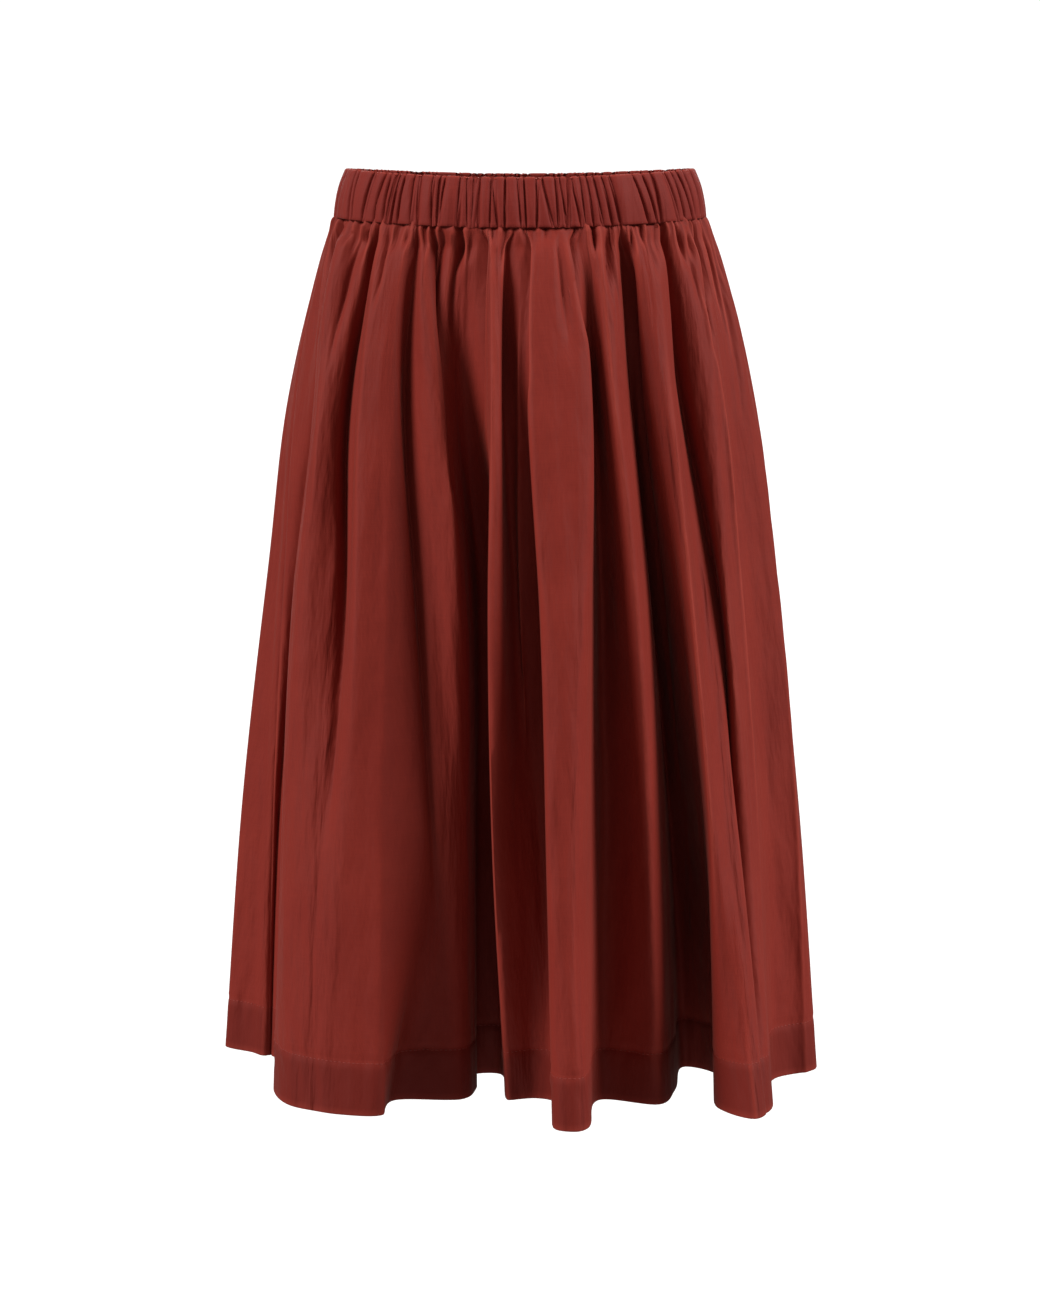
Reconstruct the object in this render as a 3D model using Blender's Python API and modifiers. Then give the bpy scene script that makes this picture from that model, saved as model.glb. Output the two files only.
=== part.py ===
"""Gathered midi skirt with an elasticated waistband, filled out as if worn, hollow and open at both ends.

Units are metres, with +Z up, +X to the viewer's right and -Y to the front. The origin is the centre of the
waistband at half its height. Angles round the skirt are stations in degrees: 0 is the front centre, 90 is the
right side, 180 the back centre and -90 (or 270) the left side. A drop is a height below the waist seam.

The skirt is cut as a front and a back panel, each gathered into one half of a casing for wide elastic. A panel
is one wall of cloth. Its large folds follow fold lines, crests and valleys that run from waist to hem, and a
smooth closed curve through them gives the cut of the skirt at each drop. Just below the seam the small gathers
of the elastic ride on that curve.
"""

import math
import random
from typing import NamedTuple

import bmesh
import bpy
import numpy as np

MM = 0.001

# Waistband: a casing for 35 mm elastic, drawn in to about 0.77 m round.
BAND_HEIGHT = 36 * MM
BAND_WALL = 3.0 * MM
BAND_SEED = 21
# Height above the seam, half width, half depth, and how far the rucks stand out of the wall (a share of it).
BAND_ROWS = (
    (0.0 * MM, 138.5 * MM, 105.0 * MM, 0.30),
    (9.0 * MM, 137.0 * MM, 104.0 * MM, 0.50),
    (26.0 * MM, 133.0 * MM, 101.0 * MM, 0.50),
    (36.0 * MM, 129.4 * MM, 98.5 * MM, 0.30),
)
# How far a ruck and the hollow beside it stand out, as shares of the height of the rucks.
RUCK_RANGE = (0.7, 1.0)
HOLLOW_RANGE = (0.0, 0.3)

# Panels: length from seam to hem, cloth and turned-up hem, and the seam gaps between pieces.
SKIRT_DROP = 638.5 * MM
CLOTH = 1.3 * MM
HEM_CLOTH = 2.4 * MM
HEM_TURN_UP = 38 * MM
HEM_STEP = 4 * MM
SEAM_GAP = 0.3 * MM
SEAM_HOLLOW = 3 * MM
SEAM_DROP = -BAND_HEIGHT / 2
# The waist and every line across the cloth run this much lower at the front and back centres than at the sides.
CENTRE_DIP = 5 * MM

# The general form that the folds stand out of: drop, half width, half depth.
FORM = (
    (0 * MM, 138.5 * MM, 105 * MM),
    (20 * MM, 147.0 * MM, 113 * MM),
    (60 * MM, 159.0 * MM, 124 * MM),
    (135 * MM, 175.0 * MM, 140 * MM),
    (250 * MM, 190.0 * MM, 155 * MM),
    (440 * MM, 211.0 * MM, 172 * MM),
    (638.5 * MM, 226.0 * MM, 185 * MM),
)

# Drops at which a fold line's station and its stand-out from the general form are given.
LEVELS = (0 * MM, 106 * MM, 272 * MM, 455 * MM, SKIRT_DROP)
# Folds stand in and out along the skirt's depth more than along its width. 1 would make it purely radial.
SIDEWAYS = 0.45

# Fold lines of the front from the left side seam to the right. The stations are in degrees at the five levels
# (waist, hip, thigh, knee, hem). The stand-outs are in millimetres at the last four, and 0 at the waist.
FRONT_FOLDS = (
    # name                 waist   hip    thigh  knee   hem      hip  thigh knee  hem
    ("side_seam_left",     -90.0, -90.0, -90.0, -89.0, -88.0,     -4,  -12,  -24,  -36),
    ("left_tuck",          -82.0, -73.0, -75.0, -76.0, -75.0,    -12,  -26,  -40,  -50),
    ("left_lobe_edge",     -76.0, -60.5, -60.5, -57.0, -56.0,      0,   -2,   -4,   -8),
    ("left_lobe",          -62.0, -56.0, -54.0, -50.0, -46.5,      3,    4,    8,   12),
    ("left_groove",        -52.0, -52.0, -48.0, -41.5, -39.5,    -20,  -20,   -4,   10),
    ("left_crest",         -45.5, -43.5, -37.0, -35.0, -34.0,      2,    4,    4,    8),
    ("left_step",          -36.0, -31.0, -27.5, -26.5, -27.0,     -2,   -4,   -2,    0),
    ("shallow_valley",     -32.5, -29.0, -23.5, -19.5, -29.0,    -10,  -18,  -26,  -46),
    ("low_crest",          -28.0, -21.0, -16.0, -15.0, -13.0,     -3,  -10,  -24,  -56),
    ("slit_left_wall",     -18.5, -17.0, -12.9, -11.7, -10.5,    -17,  -40,  -70, -100),
    ("slit_foot_left",     -14.5, -12.7, -10.9, -11.2, -12.0,     -9,  -74, -112, -140),
    ("slit_foot_right",    -11.0,  -9.8,  -6.4,  -5.9,  -5.7,    -20,  -76, -116, -144),
    ("slit_crest",          -8.0,  -6.0,  -6.0,  -4.9,  -2.2,      0,   -4,  -25,  -70),
    ("centre_valley",       -2.5,  -3.7,  -1.0,   2.3,   3.3,    -18,  -45,  -62,  -75),
    ("column_foot_left",     0.5,   0.9,   4.3,   6.1,   7.1,    -16,  -32,  -56,  -66),
    ("column_left",          2.5,   2.2,   4.7,   5.5,   6.3,      0,    2,    6,   10),
    ("column_face",          9.0,   9.5,  10.0,   9.4,  10.0,      1,    7,   12,   18),
    ("column_right",        16.0,  16.8,  15.4,  13.2,  13.8,      0,    2,    6,   10),
    ("column_foot_right",   18.8,  19.9,  22.8,  21.4,  18.6,    -20,  -45,  -56,  -62),
    ("right_low_crest",     22.5,  24.5,  27.0,  29.0,  29.7,      0,   -3,  -18,  -32),
    ("right_slit_mouth",    27.5,  28.6,  32.1,  35.3,  36.5,    -15,  -32,  -48,  -60),
    ("right_slit_foot",     31.5,  32.8,  38.6,  47.0,  52.0,    -24,  -62,  -88, -104),
    ("right_slit_end",      35.5,  36.0,  40.6,  47.6,  56.0,    -12,  -34,  -54,  -74),
    ("right_crest",         41.0,  40.5,  41.5,  42.0,  41.0,      2,    4,    8,    0),
    ("right_groove",        50.0,  49.3,  53.0,  47.7,  42.0,    -18,  -18,    8,   46),
    ("right_lobe_edge",     60.0,  57.2,  55.4,  51.7,  49.1,      0,    0,    8,   22),
    ("right_tuck",          70.0,  66.0,  66.0,  66.0,  64.0,    -12,  -22,  -30,  -38),
    ("right_side",          79.0,  77.0,  77.0,  77.0,  77.0,      1,    2,    3,    4),
    ("side_seam_right",     90.0,  91.0,  92.0,  92.0,  92.0,     -3,   -6,  -10,  -14),
)

# The left side's own fold lines, behind the seam: they carry the outline of the skirt on that side.
LEFT_SIDE_FOLDS = (
    ("left_side",          252.0, 258.0, 258.0, 258.0, 258.0,      3,    4,    5,    8),
    ("left_side_inner",    264.0, 265.0, 264.0, 263.5, 263.0,     -2,   -8,  -18,  -28),
)

# The folds of the back follow one rule: valleys and broad crests in turn, uneven in place and depth. A row gives
# a line's place in the pitch of a fold and the range of its stand-out in millimetres at hip, thigh, knee and hem.
BACK_SEED = 5
BACK_FIRST = 101.0
BACK_LAST = 247.0
BACK_FOLD_COUNT = 8
BACK_UNEVEN = 0.07
# A line of the back leans to one side by up to this many degrees from one level to the next.
BACK_LEAN = 0.5
BACK_PATTERN = (
    ("valley", 0.22, ((-12, -19), (-30, -48), (-42, -66), (-52, -84))),
    ("crest_start", 0.56, ((0, 3), (-3, 4), (-4, 6), (-6, 8))),
    ("crest_end", 0.84, ((0, 3), (-3, 4), (-4, 6), (-6, 8))),
)
# Towards the sides the folds are this share as deep as at the back centre.
BACK_SIDE_SHARE = 0.55

# Gathers under the waist seam: one to each ruck of the band, and how high they are at each drop.
GATHERS_PER_PANEL = 44
GATHER_SEED = 8
GATHER_ROWS = (
    (SEAM_GAP, 1.3 * MM),
    (8 * MM, 2.2 * MM),
    (20 * MM, 2.2 * MM),
    (34 * MM, 1.4 * MM),
)
# The gathers are uneven: each is this share of the height above.
GATHER_RANGE = (0.6, 1.2)

# Rows of the panels below the gathers, and the widest stretch of cloth between two of their columns.
PANEL_ROWS = tuple(drop * MM for drop in (50, 80, 120, 170, 230, 300, 380, 460, 540))
COLUMN_WIDTH = 16 * MM
FINE_STEPS = 12

CLOTH_COLOUR = "#80301F"
BAND_COLOUR = "#7A2E22"
CLOTH_ROUGHNESS = 0.85


class FoldLine(NamedTuple):
    """A crest or valley from waist to hem: stations in degrees and stand-outs in metres, one for each level."""

    name: str
    stations: tuple
    stand_outs: tuple


def fold_line(row):
    """The fold line that a row of a table describes."""
    name, *numbers = row
    stations = tuple(numbers[: len(LEVELS)])
    stand_outs = tuple(number * MM for number in numbers[len(LEVELS) :])
    return FoldLine(name, stations, (0.0,) + stand_outs)


def back_fold_lines():
    """Valleys and broad crests of the back in turn, each at its own uneven place and depth."""
    dice = random.Random(BACK_SEED)
    pitch = (BACK_LAST - BACK_FIRST) / BACK_FOLD_COUNT
    lines = []
    for fold in range(BACK_FOLD_COUNT):
        start = BACK_FIRST + pitch * fold
        for name, shift, ranges in BACK_PATTERN:
            station = start + pitch * (shift + dice.uniform(-BACK_UNEVEN, BACK_UNEVEN))
            share = dice.random()
            lean = dice.uniform(-BACK_LEAN, BACK_LEAN)
            stations = tuple(station + lean * level for level in range(len(LEVELS)))
            depth = BACK_SIDE_SHARE + (1 - BACK_SIDE_SHARE) * abs(math.cos(math.radians(station)))
            stand_outs = tuple(depth * (low + share * (high - low)) * MM for low, high in ranges)
            lines.append(FoldLine(f"back_{name}_{fold}", stations, (0.0,) + stand_outs))
    return lines


def smooth_value(places, values, place):
    """A value read from a smooth curve through a short table."""
    slopes = np.gradient(values, places)
    step = int(np.clip(np.searchsorted(places, place, side="right") - 1, 0, len(places) - 2))
    width = places[step + 1] - places[step]
    part = (place - places[step]) / width
    return (
        (2 * part**3 - 3 * part**2 + 1) * values[step]
        + (part**3 - 2 * part**2 + part) * width * slopes[step]
        + (3 * part**2 - 2 * part**3) * values[step + 1]
        + (part**3 - part**2) * width * slopes[step + 1]
    )


def form_at(drop):
    """Half width and half depth of the general form at a drop."""
    drops, widths, depths = zip(*FORM)
    return smooth_value(drops, widths, drop), smooth_value(drops, depths, drop)


def point_on_form(station, stand_out, drop):
    """The point in plan at a station, moved out of the general form by a stand-out."""
    half_width, half_depth = form_at(drop)
    angle = math.radians(station)
    outward = np.array([SIDEWAYS * math.sin(angle), -math.cos(angle)])
    base = np.array([half_width * math.sin(angle), -half_depth * math.cos(angle)])
    return base + outward * (stand_out / np.linalg.norm(outward))


def cut_corners(lines, drop):
    """Where the fold lines cross the level of a drop, as points in plan."""
    return np.array(
        [
            point_on_form(
                smooth_value(LEVELS, line.stations, drop),
                smooth_value(LEVELS, line.stand_outs, drop),
                drop,
            )
            for line in lines
        ]
    )


def stretch_between(before, start, end, after, steps):
    """Points of a smooth curve from start up to end, left out: a centripetal Catmull-Rom curve."""
    corners = (before, start, end, after)
    knots = [0.0]
    for one, other in zip(corners, corners[1:]):
        knots.append(knots[-1] + math.sqrt(np.linalg.norm(other - one)))
    places = np.linspace(knots[1], knots[2], steps, endpoint=False)[:, None]

    def blend(first, second, low, high):
        return ((high - places) * first + (places - low) * second) / (high - low)

    pairs = [blend(corners[i], corners[i + 1], knots[i], knots[i + 1]) for i in range(3)]
    triples = [blend(pairs[i], pairs[i + 1], knots[i], knots[i + 2]) for i in range(2)]
    return blend(triples[0], triples[1], knots[1], knots[2])


def panel_curve(lines, first, last, steps, drop):
    """The cut of one panel at a drop, from fold line first to fold line last, with steps to the next for each."""
    corners = cut_corners(lines, drop)
    count = len(corners)
    pieces = [
        stretch_between(*(corners[(line + shift) % count] for shift in (-1, 0, 1, 2)), steps[line])
        for line in range(first, last)
    ]
    return np.vstack(pieces + [corners[last % count]])


def even_points(curve, count):
    """Points at even distances along a curve, count steps from end to end."""
    lengths = np.concatenate([[0.0], np.cumsum(np.linalg.norm(np.diff(curve, axis=0), axis=1))])
    places = np.linspace(0.0, lengths[-1], count + 1)
    return np.column_stack([np.interp(places, lengths, curve[:, axis]) for axis in (0, 1)])


def outward_normals(curve):
    """Unit normals in plan of a curve that runs from the left over the front to the right."""
    along = np.gradient(curve, axis=0)
    normals = np.column_stack([along[:, 1], -along[:, 0]])
    return normals / np.linalg.norm(normals, axis=1)[:, None]


def gathered(curve, height, sizes):
    """A curve with a gather at every second point, standing out, and a hollow at each point between them."""
    signs = np.where(np.arange(len(curve)) % 2 == 0, -1.0, 1.0)
    signs[[0, -1]] = 0.0
    return curve + outward_normals(curve) * (signs * sizes * height)[:, None]


def parted_at_seams(front, back):
    """Both panels' points at one drop, drawn in by the stitching at each side seam and parted by its gap."""
    front, back = front.copy(), back.copy()
    for before, after in ((front, back), (back, front)):
        along = after[1] - before[-2]
        along /= np.linalg.norm(along)
        stitched = before[-1] - SEAM_HOLLOW * np.array([along[1], -along[0]])
        before[-1] = stitched - along * SEAM_GAP / 2
        after[0] = stitched + along * SEAM_GAP / 2
    return front, back


def lifted(row, drop, half_width):
    """Points in plan at their height: each line across the cloth dips towards the front and back centres."""
    dip = CENTRE_DIP * np.clip(1 - (row[:, 0] / half_width) ** 2, 0.0, 1.0)
    return np.column_stack([row, SEAM_DROP - drop - dip])


def column_steps(lines):
    """How many columns each stretch from a fold line to the next takes, from its widest length of cloth."""
    closed = lines + lines[:1]
    spans = [np.linalg.norm(np.diff(cut_corners(closed, drop), axis=0), axis=1) for drop in LEVELS[1:]]
    return [max(2, math.ceil(widest / COLUMN_WIDTH)) for widest in np.max(spans, axis=0)]


def panel_rows(lines, right_seam):
    """The rows of the front panel and of the back panel from the waist seam to the hem: (drop, points) pairs."""
    ends = ((0, right_seam), (right_seam, len(lines)))
    steps = column_steps(lines)
    dice = random.Random(GATHER_SEED)
    sizes = [np.array([dice.uniform(*GATHER_RANGE) for _ in range(2 * GATHERS_PER_PANEL + 1)]) for _ in ends]
    cuts = []
    for drop, height in GATHER_ROWS:
        curves = [panel_curve(lines, first, last, [FINE_STEPS] * len(lines), drop) for first, last in ends]
        even = [even_points(curve, 2 * GATHERS_PER_PANEL) for curve in curves]
        cuts.append((drop, [gathered(curve, height, size) for curve, size in zip(even, sizes)]))
    hem_top = SKIRT_DROP - HEM_TURN_UP
    for drop in PANEL_ROWS + (hem_top, hem_top + HEM_STEP, SKIRT_DROP):
        cuts.append((drop, [panel_curve(lines, first, last, steps, drop) for first, last in ends]))
    front_rows, back_rows = [], []
    for drop, curves in cuts:
        half_width = form_at(drop)[0]
        front, back = parted_at_seams(*curves)
        front_rows.append((drop, lifted(front, drop, half_width)))
        back_rows.append((drop, lifted(back, drop, half_width)))
    return front_rows, back_rows


def shares_along(points):
    """How far along a row each of its points is, from 0 to 1."""
    lengths = np.concatenate([[0.0], np.cumsum(np.linalg.norm(np.diff(points, axis=0), axis=1))])
    return lengths / lengths[-1]


def join_rows(mesh, upper, lower):
    """Faces between two rows of vertices, as quads, or as triangles where their counts differ."""
    if len(upper) == len(lower):
        for left in range(len(upper) - 1):
            mesh.faces.new((upper[left], lower[left], lower[left + 1], upper[left + 1]))
        return
    above = shares_along([vertex.co.xyz for vertex in upper])
    below = shares_along([vertex.co.xyz for vertex in lower])
    high, low = 0, 0
    while high < len(upper) - 1 or low < len(lower) - 1:
        step_low = low < len(lower) - 1 and (
            high == len(upper) - 1 or below[low + 1] + below[low] < above[high + 1] + above[high]
        )
        if step_low:
            mesh.faces.new((upper[high], lower[low], lower[low + 1]))
            low += 1
        else:
            mesh.faces.new((upper[high], lower[low], upper[high + 1]))
            high += 1


def linear_colour(code):
    """A colour code such as #80301F as linear red, green, blue and alpha."""
    shares = [int(code[place : place + 2], 16) / 255 for place in (1, 3, 5)]
    return [share / 12.92 if share <= 0.04045 else ((share + 0.055) / 1.055) ** 2.4 for share in shares] + [1.0]


def cloth_material(name, code):
    """A matt cloth material of one colour."""
    material = bpy.data.materials.new(name)
    material.use_nodes = True
    shader = material.node_tree.nodes["Principled BSDF"]
    shader.inputs["Base Color"].default_value = linear_colour(code)
    shader.inputs["Roughness"].default_value = CLOTH_ROUGHNESS
    material.diffuse_color = linear_colour(code)
    return material


def cloth_wall(name, rows, weights, thickness, outward, material, collection):
    """A wall of cloth: a sheet through rows of points, made solid by a thickness that the weights scale.

    The wall grows out of the sheet where outward is 1, and into the skirt where it is -1.
    """
    mesh = bmesh.new()
    vertices = [[mesh.verts.new(point) for point in row] for row in rows]
    for upper, lower in zip(vertices, vertices[1:]):
        join_rows(mesh, upper, lower)
    data = bpy.data.meshes.new(name)
    mesh.to_mesh(data)
    mesh.free()
    data.shade_smooth()
    data.materials.append(material)
    wall = bpy.data.objects.new(name, data)
    collection.objects.link(wall)
    group = wall.vertex_groups.new(name="thickness")
    for index, weight in enumerate(weight for row in weights for weight in row):
        group.add([index], float(weight), "REPLACE")
    solid = wall.modifiers.new("cloth", "SOLIDIFY")
    solid.thickness = thickness
    solid.offset = outward
    solid.vertex_group = group.name
    return wall


def make_panel(name, rows, material, collection):
    """One skirt panel, gathered at the waist, with its hem turned up and so two cloths thick."""
    hem_top = SKIRT_DROP - HEM_TURN_UP
    weights = [[1.0 if drop > hem_top else CLOTH / HEM_CLOTH] * len(points) for drop, points in rows]
    cloth_wall(name, [points for _, points in rows], weights, HEM_CLOTH, -1, material, collection)


def make_band(name, start, material, collection):
    """One half of the waistband from the side seam at station start, ruched outside and plain inside."""
    dice = random.Random(BAND_SEED + int(start))
    count = 2 * GATHERS_PER_PANEL
    rucks = [dice.uniform(*(RUCK_RANGE if column % 2 else HOLLOW_RANGE)) for column in range(count + 1)]
    rows, weights = [], []
    for height, half_width, half_depth, ruck_share in reversed(BAND_ROWS):
        parting = math.degrees(SEAM_GAP / 2 / half_depth)
        stations = np.radians(np.linspace(start + parting, start + 180 - parting, count + 1))
        inner_width, inner_depth = half_width - BAND_WALL, half_depth - BAND_WALL
        flat = np.column_stack([inner_width * np.sin(stations), -inner_depth * np.cos(stations)])
        rows.append(lifted(flat, -height, inner_width))
        weights.append([1.0 - ruck_share * (1.0 - ruck) for ruck in rucks])
    cloth_wall(name, rows, weights, BAND_WALL, 1, material, collection)


def main():
    """Clear the scene and make the four pieces of the skirt."""
    for old in list(bpy.data.objects):
        bpy.data.objects.remove(old, do_unlink=True)
    collection = bpy.data.collections.new("gathered_midi_skirt")
    bpy.context.scene.collection.children.link(collection)
    panel_cloth = cloth_material("skirt_cloth", CLOTH_COLOUR)
    band_cloth = cloth_material("waistband_cloth", BAND_COLOUR)

    front = [fold_line(row) for row in FRONT_FOLDS]
    lines = front + back_fold_lines() + [fold_line(row) for row in LEFT_SIDE_FOLDS]
    front_rows, back_rows = panel_rows(lines, right_seam=len(front) - 1)
    make_panel("front_panel", front_rows, panel_cloth, collection)
    make_panel("back_panel", back_rows, panel_cloth, collection)
    make_band("waistband_front", -90.0, band_cloth, collection)
    make_band("waistband_back", 90.0, band_cloth, collection)


main()
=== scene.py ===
"""Looks of a gathered midi skirt with an elasticated waistband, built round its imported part.

Units are metres in the part's own frame: +Z up, +X to the viewer's right, -Y to the front, and the origin
at the centre of the waistband. Angles round the skirt are stations in degrees: 0 is the front centre, 90 the
right side, 180 the back centre and -90 (or 270) the left side. A drop is a height below the waist seam.

The cloth is a fine shell on the part's form. Its large folds run along the part's fold lines, drawn deeper in
the slits, and the gathers, creases and puckers that the part leaves out are placed on it one by one.
"""

import logging
import math
import random
from dataclasses import dataclass, field
from enum import Enum

import bpy
import numpy as np
from mathutils import Matrix


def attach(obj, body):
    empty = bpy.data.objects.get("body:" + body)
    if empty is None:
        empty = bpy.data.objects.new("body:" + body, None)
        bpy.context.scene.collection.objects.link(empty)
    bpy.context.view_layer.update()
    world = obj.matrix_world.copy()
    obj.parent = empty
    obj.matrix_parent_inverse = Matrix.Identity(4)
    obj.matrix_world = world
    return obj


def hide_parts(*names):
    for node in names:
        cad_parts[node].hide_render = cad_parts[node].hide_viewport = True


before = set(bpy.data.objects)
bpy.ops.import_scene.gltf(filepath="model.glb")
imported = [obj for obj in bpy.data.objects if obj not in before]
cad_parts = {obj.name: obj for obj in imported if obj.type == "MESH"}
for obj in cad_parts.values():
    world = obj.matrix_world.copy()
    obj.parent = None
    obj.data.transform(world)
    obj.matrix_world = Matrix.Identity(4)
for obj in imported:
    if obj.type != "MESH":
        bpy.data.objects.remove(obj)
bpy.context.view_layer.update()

MM = 0.001

# Driving sizes of the garment, the same as the part's, but for the gap in a side seam, sewn shut here.
BAND_HEIGHT = 36 * MM
BAND_WALL = 3.0 * MM
SKIRT_DROP = 638.5 * MM
HEM_TURN_UP = 38 * MM
HEM_TOP = SKIRT_DROP - HEM_TURN_UP
SEAM_GAP = 0.05 * MM
SEAM_DROP = -BAND_HEIGHT / 2
CENTRE_DIP = 5 * MM

# Drops at which a fold line's station and its stand-out from the general form are given.
LEVELS = (0 * MM, 106 * MM, 272 * MM, 455 * MM, SKIRT_DROP)
# Folds stand in and out along the skirt's depth more than along its width. 1 would make it purely radial.
SIDEWAYS = 0.45

# The general form that the folds stand out of: drop, half width, half depth.
FORM_ROWS = (
    (0 * MM, 138.5 * MM, 105 * MM),
    (20 * MM, 147.0 * MM, 113 * MM),
    (60 * MM, 159.0 * MM, 124 * MM),
    (135 * MM, 175.0 * MM, 140 * MM),
    (250 * MM, 190.0 * MM, 155 * MM),
    (440 * MM, 211.0 * MM, 172 * MM),
    (638.5 * MM, 226.0 * MM, 185 * MM),
)

# The waistband: height above the seam, half width, half depth.
BAND_ROWS = (
    (0.0 * MM, 138.5 * MM, 105.0 * MM),
    (9.0 * MM, 137.0 * MM, 104.0 * MM),
    (26.0 * MM, 133.0 * MM, 101.0 * MM),
    (36.0 * MM, 129.4 * MM, 98.5 * MM),
)

# Fold lines of the front from the left side seam to the right. The stations are in degrees at the five levels
# (waist, hip, thigh, knee, hem). The stand-outs are in millimetres at the last four, and 0 at the waist.
FRONT_FOLDS = (
    # name                 waist   hip    thigh  knee   hem      hip  thigh knee  hem
    ("side_seam_left",     -90.0, -90.0, -90.0, -89.0, -88.0,     -4,  -12,  -22,  -30),
    ("left_tuck",          -82.0, -73.0, -77.0, -84.0, -84.0,    -12,  -28,  -46,  -56),
    ("left_lobe_edge",     -76.0, -60.5, -60.5, -57.0, -56.0,      0,   -2,   -4,   -8),
    ("left_lobe",          -62.0, -56.0, -54.0, -50.0, -46.5,      3,    4,    7,   12),
    ("left_groove",        -47.5, -46.0, -43.2, -41.5, -39.5,    -11,  -12,    4,   11),
    ("left_crest",         -43.0, -41.5, -37.5, -36.0, -34.5,      2,    4,    4,    8),
    ("left_step",          -36.0, -34.0, -29.0, -26.5, -27.5,     -4,  -10,  -14,   -4),
    ("shallow_valley",     -32.0, -28.2, -21.6, -17.5, -27.0,    -14,  -28,  -42,  -48),
    ("low_crest",          -28.0, -19.6, -14.4, -13.2, -12.6,     -7,  -29,  -54,  -68),
    ("slit_left_wall",     -18.5, -17.6, -12.3, -11.0, -10.3,    -26,  -56,  -80, -100),
    ("slit_foot_left",     -14.5, -15.0, -11.2, -11.2, -12.0,    -34,  -84, -116, -140),
    ("slit_foot_right",    -11.0,  -9.8,  -6.8,  -5.9,  -5.7,    -22,  -84, -120, -144),
    ("slit_crest",          -8.2,  -6.6,  -6.6,  -5.3,  -2.6,      0,   -4,  -25,  -70),
    ("slit_crest_right",    -6.8,  -5.0,  -4.4,  -3.2,  -0.6,     -2,   -8,  -30,  -72),
    ("centre_valley",       -2.5,  -3.7,  -1.0,   2.3,   3.3,    -18,  -45,  -48,  -75),
    ("column_foot_left",     0.5,   0.9,   4.3,   6.1,   7.1,    -16,  -34,  -50,  -66),
    ("column_left",          2.5,   2.2,   4.7,   5.5,   6.3,      0,    2,    6,   10),
    ("column_face",          9.0,   9.5,  10.0,   9.4,  10.0,      1,    7,   12,   18),
    ("column_right",        16.0,  16.8,  13.9,  11.4,  12.3,      0,    2,    6,   10),
    ("column_foot_right",   18.8,  19.0,  20.2,  19.6,  17.6,    -20,  -45,  -56,  -62),
    ("right_low_crest",     22.5,  22.8,  25.8,  27.6,  29.2,      0,   -3,  -18,  -32),
    ("right_slit_mouth",    27.5,  28.4,  32.6,  35.3,  36.5,    -16,  -32,  -48,  -60),
    ("right_slit_foot",     31.5,  31.2,  37.6,  46.0,  51.0,    -32,  -70,  -92, -104),
    ("right_slit_end",      35.5,  34.0,  38.4,  45.6,  55.0,     -7,  -18,  -42,  -70),
    ("right_crest",         41.0,  38.5,  39.5,  40.0,  39.5,      2,    4,    8,    0),
    ("right_groove",        50.0,  44.5,  46.5,  44.6,  42.6,    -12,  -12,    8,   43),
    ("right_lobe_edge",     60.0,  55.5,  52.0,  50.0,  48.2,      0,    0,    8,   32),
    ("right_tuck",          70.0,  66.0,  66.0,  66.0,  64.0,     -6,  -10,  -12,  -18),
    ("right_side",          79.0,  77.0,  77.0,  77.0,  77.0,      1,    2,    3,    4),
    ("side_seam_right",     90.0,  91.0,  92.0,  92.0,  92.0,     -3,   -6,  -10,  -14),
)
# The same for those between the back and the left side seam.
LEFT_SIDE_FOLDS = (
    ("left_side",          252.0, 258.0, 259.0, 262.0, 263.0,      3,    4,    4,    4),
    ("left_side_inner",    264.0, 265.0, 265.0, 266.5, 267.0,     -2,   -8,  -15,  -20),
)

# The folds of the back follow one rule: valleys and broad crests in turn, uneven in place and depth.
BACK_SEED = 5
BACK_FIRST = 101.0
BACK_LAST = 247.0
BACK_FOLD_COUNT = 8
BACK_UNEVEN = 0.07
BACK_LEAN = 0.5
BACK_PATTERN = (
    ("valley", 0.22, ((-12, -19), (-30, -48), (-42, -66), (-52, -84))),
    ("crest_start", 0.56, ((0, 3), (-3, 4), (-4, 6), (-6, 8))),
    ("crest_end", 0.84, ((0, 3), (-3, 4), (-4, 6), (-6, 8))),
)
BACK_SIDE_SHARE = 0.55

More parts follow.
